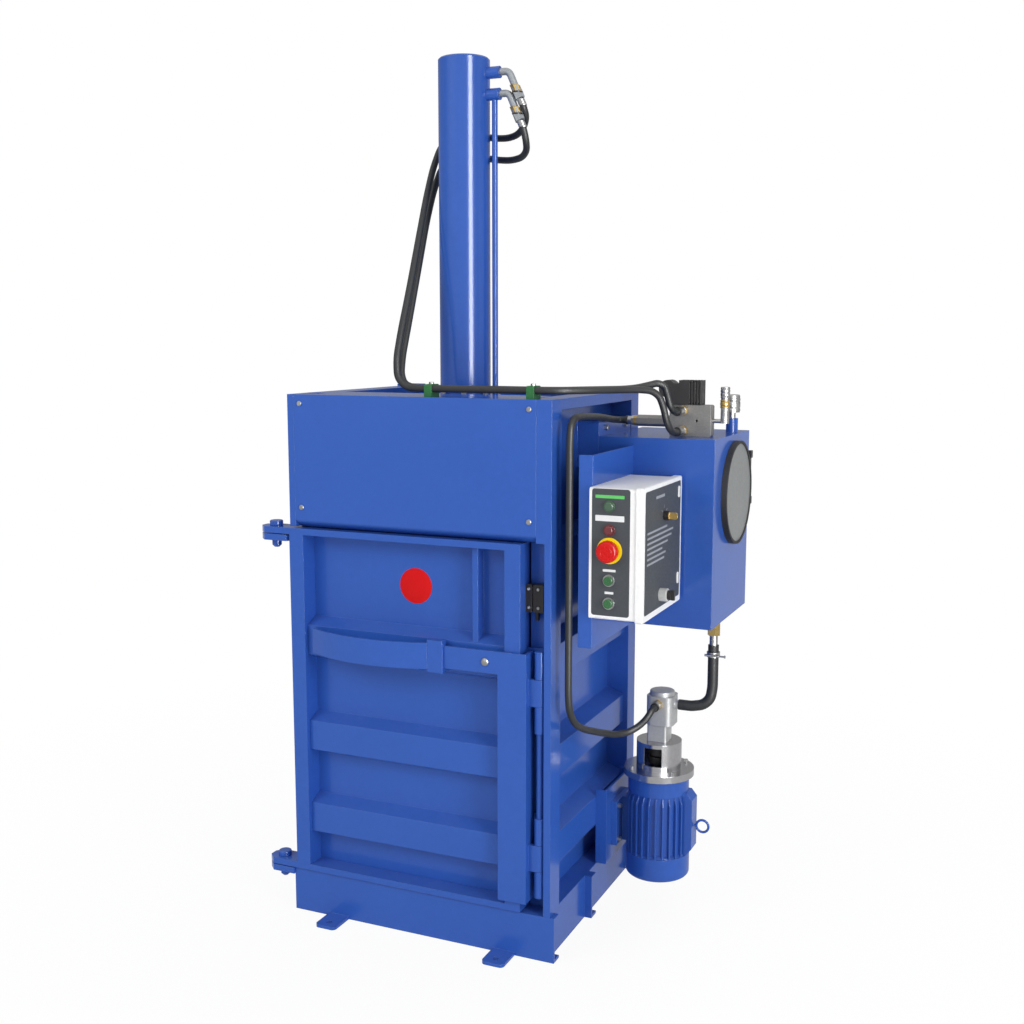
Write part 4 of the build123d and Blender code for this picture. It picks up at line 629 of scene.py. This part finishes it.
# Suction hose clamp: its screw as a six-sided head, a shank and a nut, each a profile along the screw
clampScrew = dict(place=(0.7890, 0.1520, 0.8470), steps=36,
                  head=((0, 0.0052), (0.0042, 0.0052), (0.0048, 0.0044), (0.0049, 0.0030)),
                  shank=((0.0040, 0.0028), (0.0215, 0.0028), (0.0225, 0.0020)),
                  nut=((0.0215, 0.0026), (0.0218, 0.0048), (0.0258, 0.0048), (0.0262, 0.0030)))
for name, shape in (("head", hexagon), ("shank", None), ("nut", hexagon)):
    rows = turned(clampScrew["place"], (1, 0, 0), clampScrew[name], clampScrew["steps"], shape)
    meshPiece(f"clamp_screw_{name}", rows, "zincSteel", "frame")

# Motor: a sloping collar closes the ring between the fins and the cowl
collar = dict(low=(0.600, 0.163, 0.1752), steps=112,
              profile=((0, 0.1006), (0.0022, 0.1012), (0.0045, 0.0985), (0.0090, 0.0924)))
rows = turned(collar["low"], upward, collar["profile"], collar["steps"])
meshPiece("cowl_collar", rows, "blueEnamel", "frame")
print("clamp screw and collar made")

# Red disc on the door panel, flat with an eased rim
doorDisc = dict(place=(-0.028, -0.326, 1.095), radius=0.055, rise=0.0008, bend=0.6, middle=0.02,
                steps=96)
radius, rise = doorDisc["radius"], doorDisc["rise"]
profile = [(0, radius), (rise * doorDisc["bend"], radius), (rise, radius - rise),
           (rise, radius * doorDisc["middle"])]
meshPiece("door_disc", turned(doorDisc["place"], outOfFront, profile, doorDisc["steps"]), "signRed",
          "door")


def hoop(centre, way, radius, thick, around=64, steps=16):  # a circle carried round a circle
    way, circle = circleWays(way, around)[1:]
    turn = np.linspace(0, 2 * np.pi, steps + 1)[:, None, None]
    ring = (radius + thick * np.cos(turn)) * circle
    return np.asarray(centre, float) + ring + thick * np.sin(turn) * way


# Raised hoop on the emergency stop
stopHoop = dict(place=(0.6138, -0.4158, 1.257), radius=0.0165, thick=0.0014)
rows = hoop(stopHoop["place"], outOfFront, stopHoop["radius"], stopHoop["thick"])
meshPiece("stop_hoop", rows, "buttonRed", "emergency_stop", capped=False)
print("disc and hoop made")

# Camera at the photograph's place; sensor in millimetres, the rest in metres and degrees
view = dict(place=(1.7613, -3.6276, 1.8510), azimuth=23.99, elevation=8.04, lens=43.987, sensor=36.0,
            farthest=100.0)
eye = bpy.data.cameras.new("photoView")
eye.lens = view["lens"]
eye.sensor_width = view["sensor"]
eye.clip_end = view["farthest"]
camera = bpy.data.objects.new("photoView", eye)
camera.location = view["place"]
camera.rotation_euler = (math.radians(90 - view["elevation"]), 0, math.radians(view["azimuth"]))
bpy.context.scene.collection.objects.link(camera)
bpy.context.scene.camera = camera

floor = dict(rings=24, steps=96, first=0.02, reach=40, depth=0.0006, matt=0.86, glossLoss=0.42,
             fadeSpan=(0.7, 3.0), fadeLevels=(0.93, 1.0))


def paleGround():  # ring radii grow with a square, so the far ground meets the backdrop with no edge
    ring = np.linspace(floor["first"], 1, floor["rings"]) ** 2 * floor["reach"]
    angle = np.linspace(0, 2 * np.pi, floor["steps"], endpoint=False)
    rows = np.stack([ring[:, None] * np.cos(angle), ring[:, None] * np.sin(angle),
                     np.full((ring.size, angle.size), -floor["depth"])], -1)
    faces = ringQuads(ring.size, angle.size)[:, (0, 3, 2, 1)].tolist() + [list(range(angle.size))]
    mesh = bpy.data.meshes.new("paleFloor")
    mesh.from_pydata(rows.reshape(-1, 3).tolist(), [], faces)
    ground = bpy.data.objects.new("paleFloor", mesh)
    bpy.context.scene.collection.objects.link(ground)
    made = bpy.data.materials.new("paleFloor")
    made.use_nodes = True
    tree = made.node_tree
    tree.nodes.remove(tree.nodes["Principled BSDF"])
    # a glow to the camera, in gloss and through glass, less so near the middle; matt to all other rays
    ray = addNode(tree, "ShaderNodeLightPath").outputs
    reach = addNode(tree, "ShaderNodeVectorMath", operation="LENGTH")
    feed(tree, reach.inputs[0], addNode(tree, "ShaderNodeTexCoord").outputs["Object"])
    fade = spread(tree, reach.outputs["Value"], floor["fadeSpan"], floor["fadeLevels"])
    seen = mathNode(tree, "MAXIMUM", ray["Is Camera Ray"], ray["Is Glossy Ray"])
    seen = mathNode(tree, "MAXIMUM", seen, ray["Is Transmission Ray"])
    loss = mathNode(tree, "MULTIPLY", ray["Is Glossy Ray"], floor["glossLoss"])
    matt = addNode(tree, "ShaderNodeBsdfDiffuse", {"Color": grey(floor["matt"])})
    glow = addNode(tree, "ShaderNodeEmission", {"Color": grey(1),
                                                "Strength": mathNode(tree, "SUBTRACT", 1.0, loss)})
    mix = addNode(tree, "ShaderNodeMixShader")
    feed(tree, mix.inputs[0], mathNode(tree, "MULTIPLY", seen, fade))
    feed(tree, mix.inputs[1], matt.outputs[0])
    feed(tree, mix.inputs[2], glow.outputs[0])
    feed(tree, tree.nodes["Material Output"].inputs["Surface"], mix.outputs[0])
    mesh.materials.append(made)


paleGround()

# Studio levels in gloss by compass degrees, seen from the middle: 0 is the front, 90 the right
studio = dict(plain=0.60, high=1.0, highSpan=(0.35, 0.8),
              bands=((-180, 0.33), (-120, 0.40), (-95, 0.30), (-62, 0.34), (-45, 1.0), (58, 1.0),
                     (66, 0.42), (86, 0.45), (94, 0.80), (112, 0.72), (122, 0.40), (140, 0.28),
                     (158, 0.25), (180, 0.33)))


def softWorld():  # white to the camera; in gloss, bright and dark bands by the angle; plain to all else
    world = bpy.data.worlds.new("studio")
    bpy.context.scene.world = world
    world.use_nodes = True
    tree = world.node_tree
    ray = addNode(tree, "ShaderNodeLightPath").outputs
    parts = addNode(tree, "ShaderNodeSeparateXYZ",
                    {"Vector": addNode(tree, "ShaderNodeTexCoord").outputs["Generated"]}).outputs
    angle = mathNode(tree, "ARCTAN2", parts["X"], mathNode(tree, "MULTIPLY", parts["Y"], -1.0))
    turn = mathNode(tree, "ADD", mathNode(tree, "DIVIDE", angle, 2 * math.pi), 0.5)
    ramp = addNode(tree, "ShaderNodeValToRGB", {"Fac": turn})
    stops = ramp.color_ramp.elements
    ends = {-180: stops[0], 180: stops[1]}
    for degrees, level in studio["bands"]:
        stop = ends.get(degrees) or stops.new((degrees + 180) / 360)
        stop.color = grey(level)
    height = spread(tree, parts["Z"], studio["highSpan"])
    banded = mixColour(tree, height, ramp.outputs["Color"], grey(studio["high"]))
    plain = mixColour(tree, ray["Is Glossy Ray"], grey(studio["plain"]), banded)
    clear = mathNode(tree, "MAXIMUM", ray["Is Camera Ray"], ray["Is Transmission Ray"])
    feed(tree, tree.nodes["Background"].inputs["Color"], mixColour(tree, clear, plain, grey(1)))


softWorld()
lamps = {
    "keyPanel": dict(place=(-2.6, -4.6, 4.2), aim=(0, 0, 1.1), size=(3.0, 2.4), power=126.0,
                     gloss=False),
    "sidePanel": dict(place=(4.6, -2.6, 2.0), aim=(0.2, 0, 1.2), size=(1.6, 4.0), power=140.0,
                      gloss=False),
    "rearPanel": dict(place=(1.5, 5.0, 4.4), aim=(0, 0, 1.2), size=(3.0, 2.0), power=90.0,
                      gloss=False),
    "edgeStrip": dict(place=(3.19, -2.44, 1.9), aim=(0, -0.033, 1.9), size=(1.15, 4.4), power=350.0,
                      diffuse=False),
}
for name, given in lamps.items():
    lamp = bpy.data.lights.new(name, "AREA")
    lamp.shape = "RECTANGLE"
    lamp.size, lamp.size_y = given["size"]
    lamp.energy = given["power"]
    holder = bpy.data.objects.new(name, lamp)
    holder.location = given["place"]
    ahead = Vector(given["aim"]) - Vector(given["place"])
    holder.rotation_euler = ahead.to_track_quat("-Z", "Y").to_euler()
    holder.visible_camera = False
    holder.visible_glossy = given.get("gloss", True)
    holder.visible_diffuse = given.get("diffuse", True)
    bpy.context.scene.collection.objects.link(holder)
bpy.context.scene.view_settings.view_transform = "Standard"
print("camera, floor and light set")
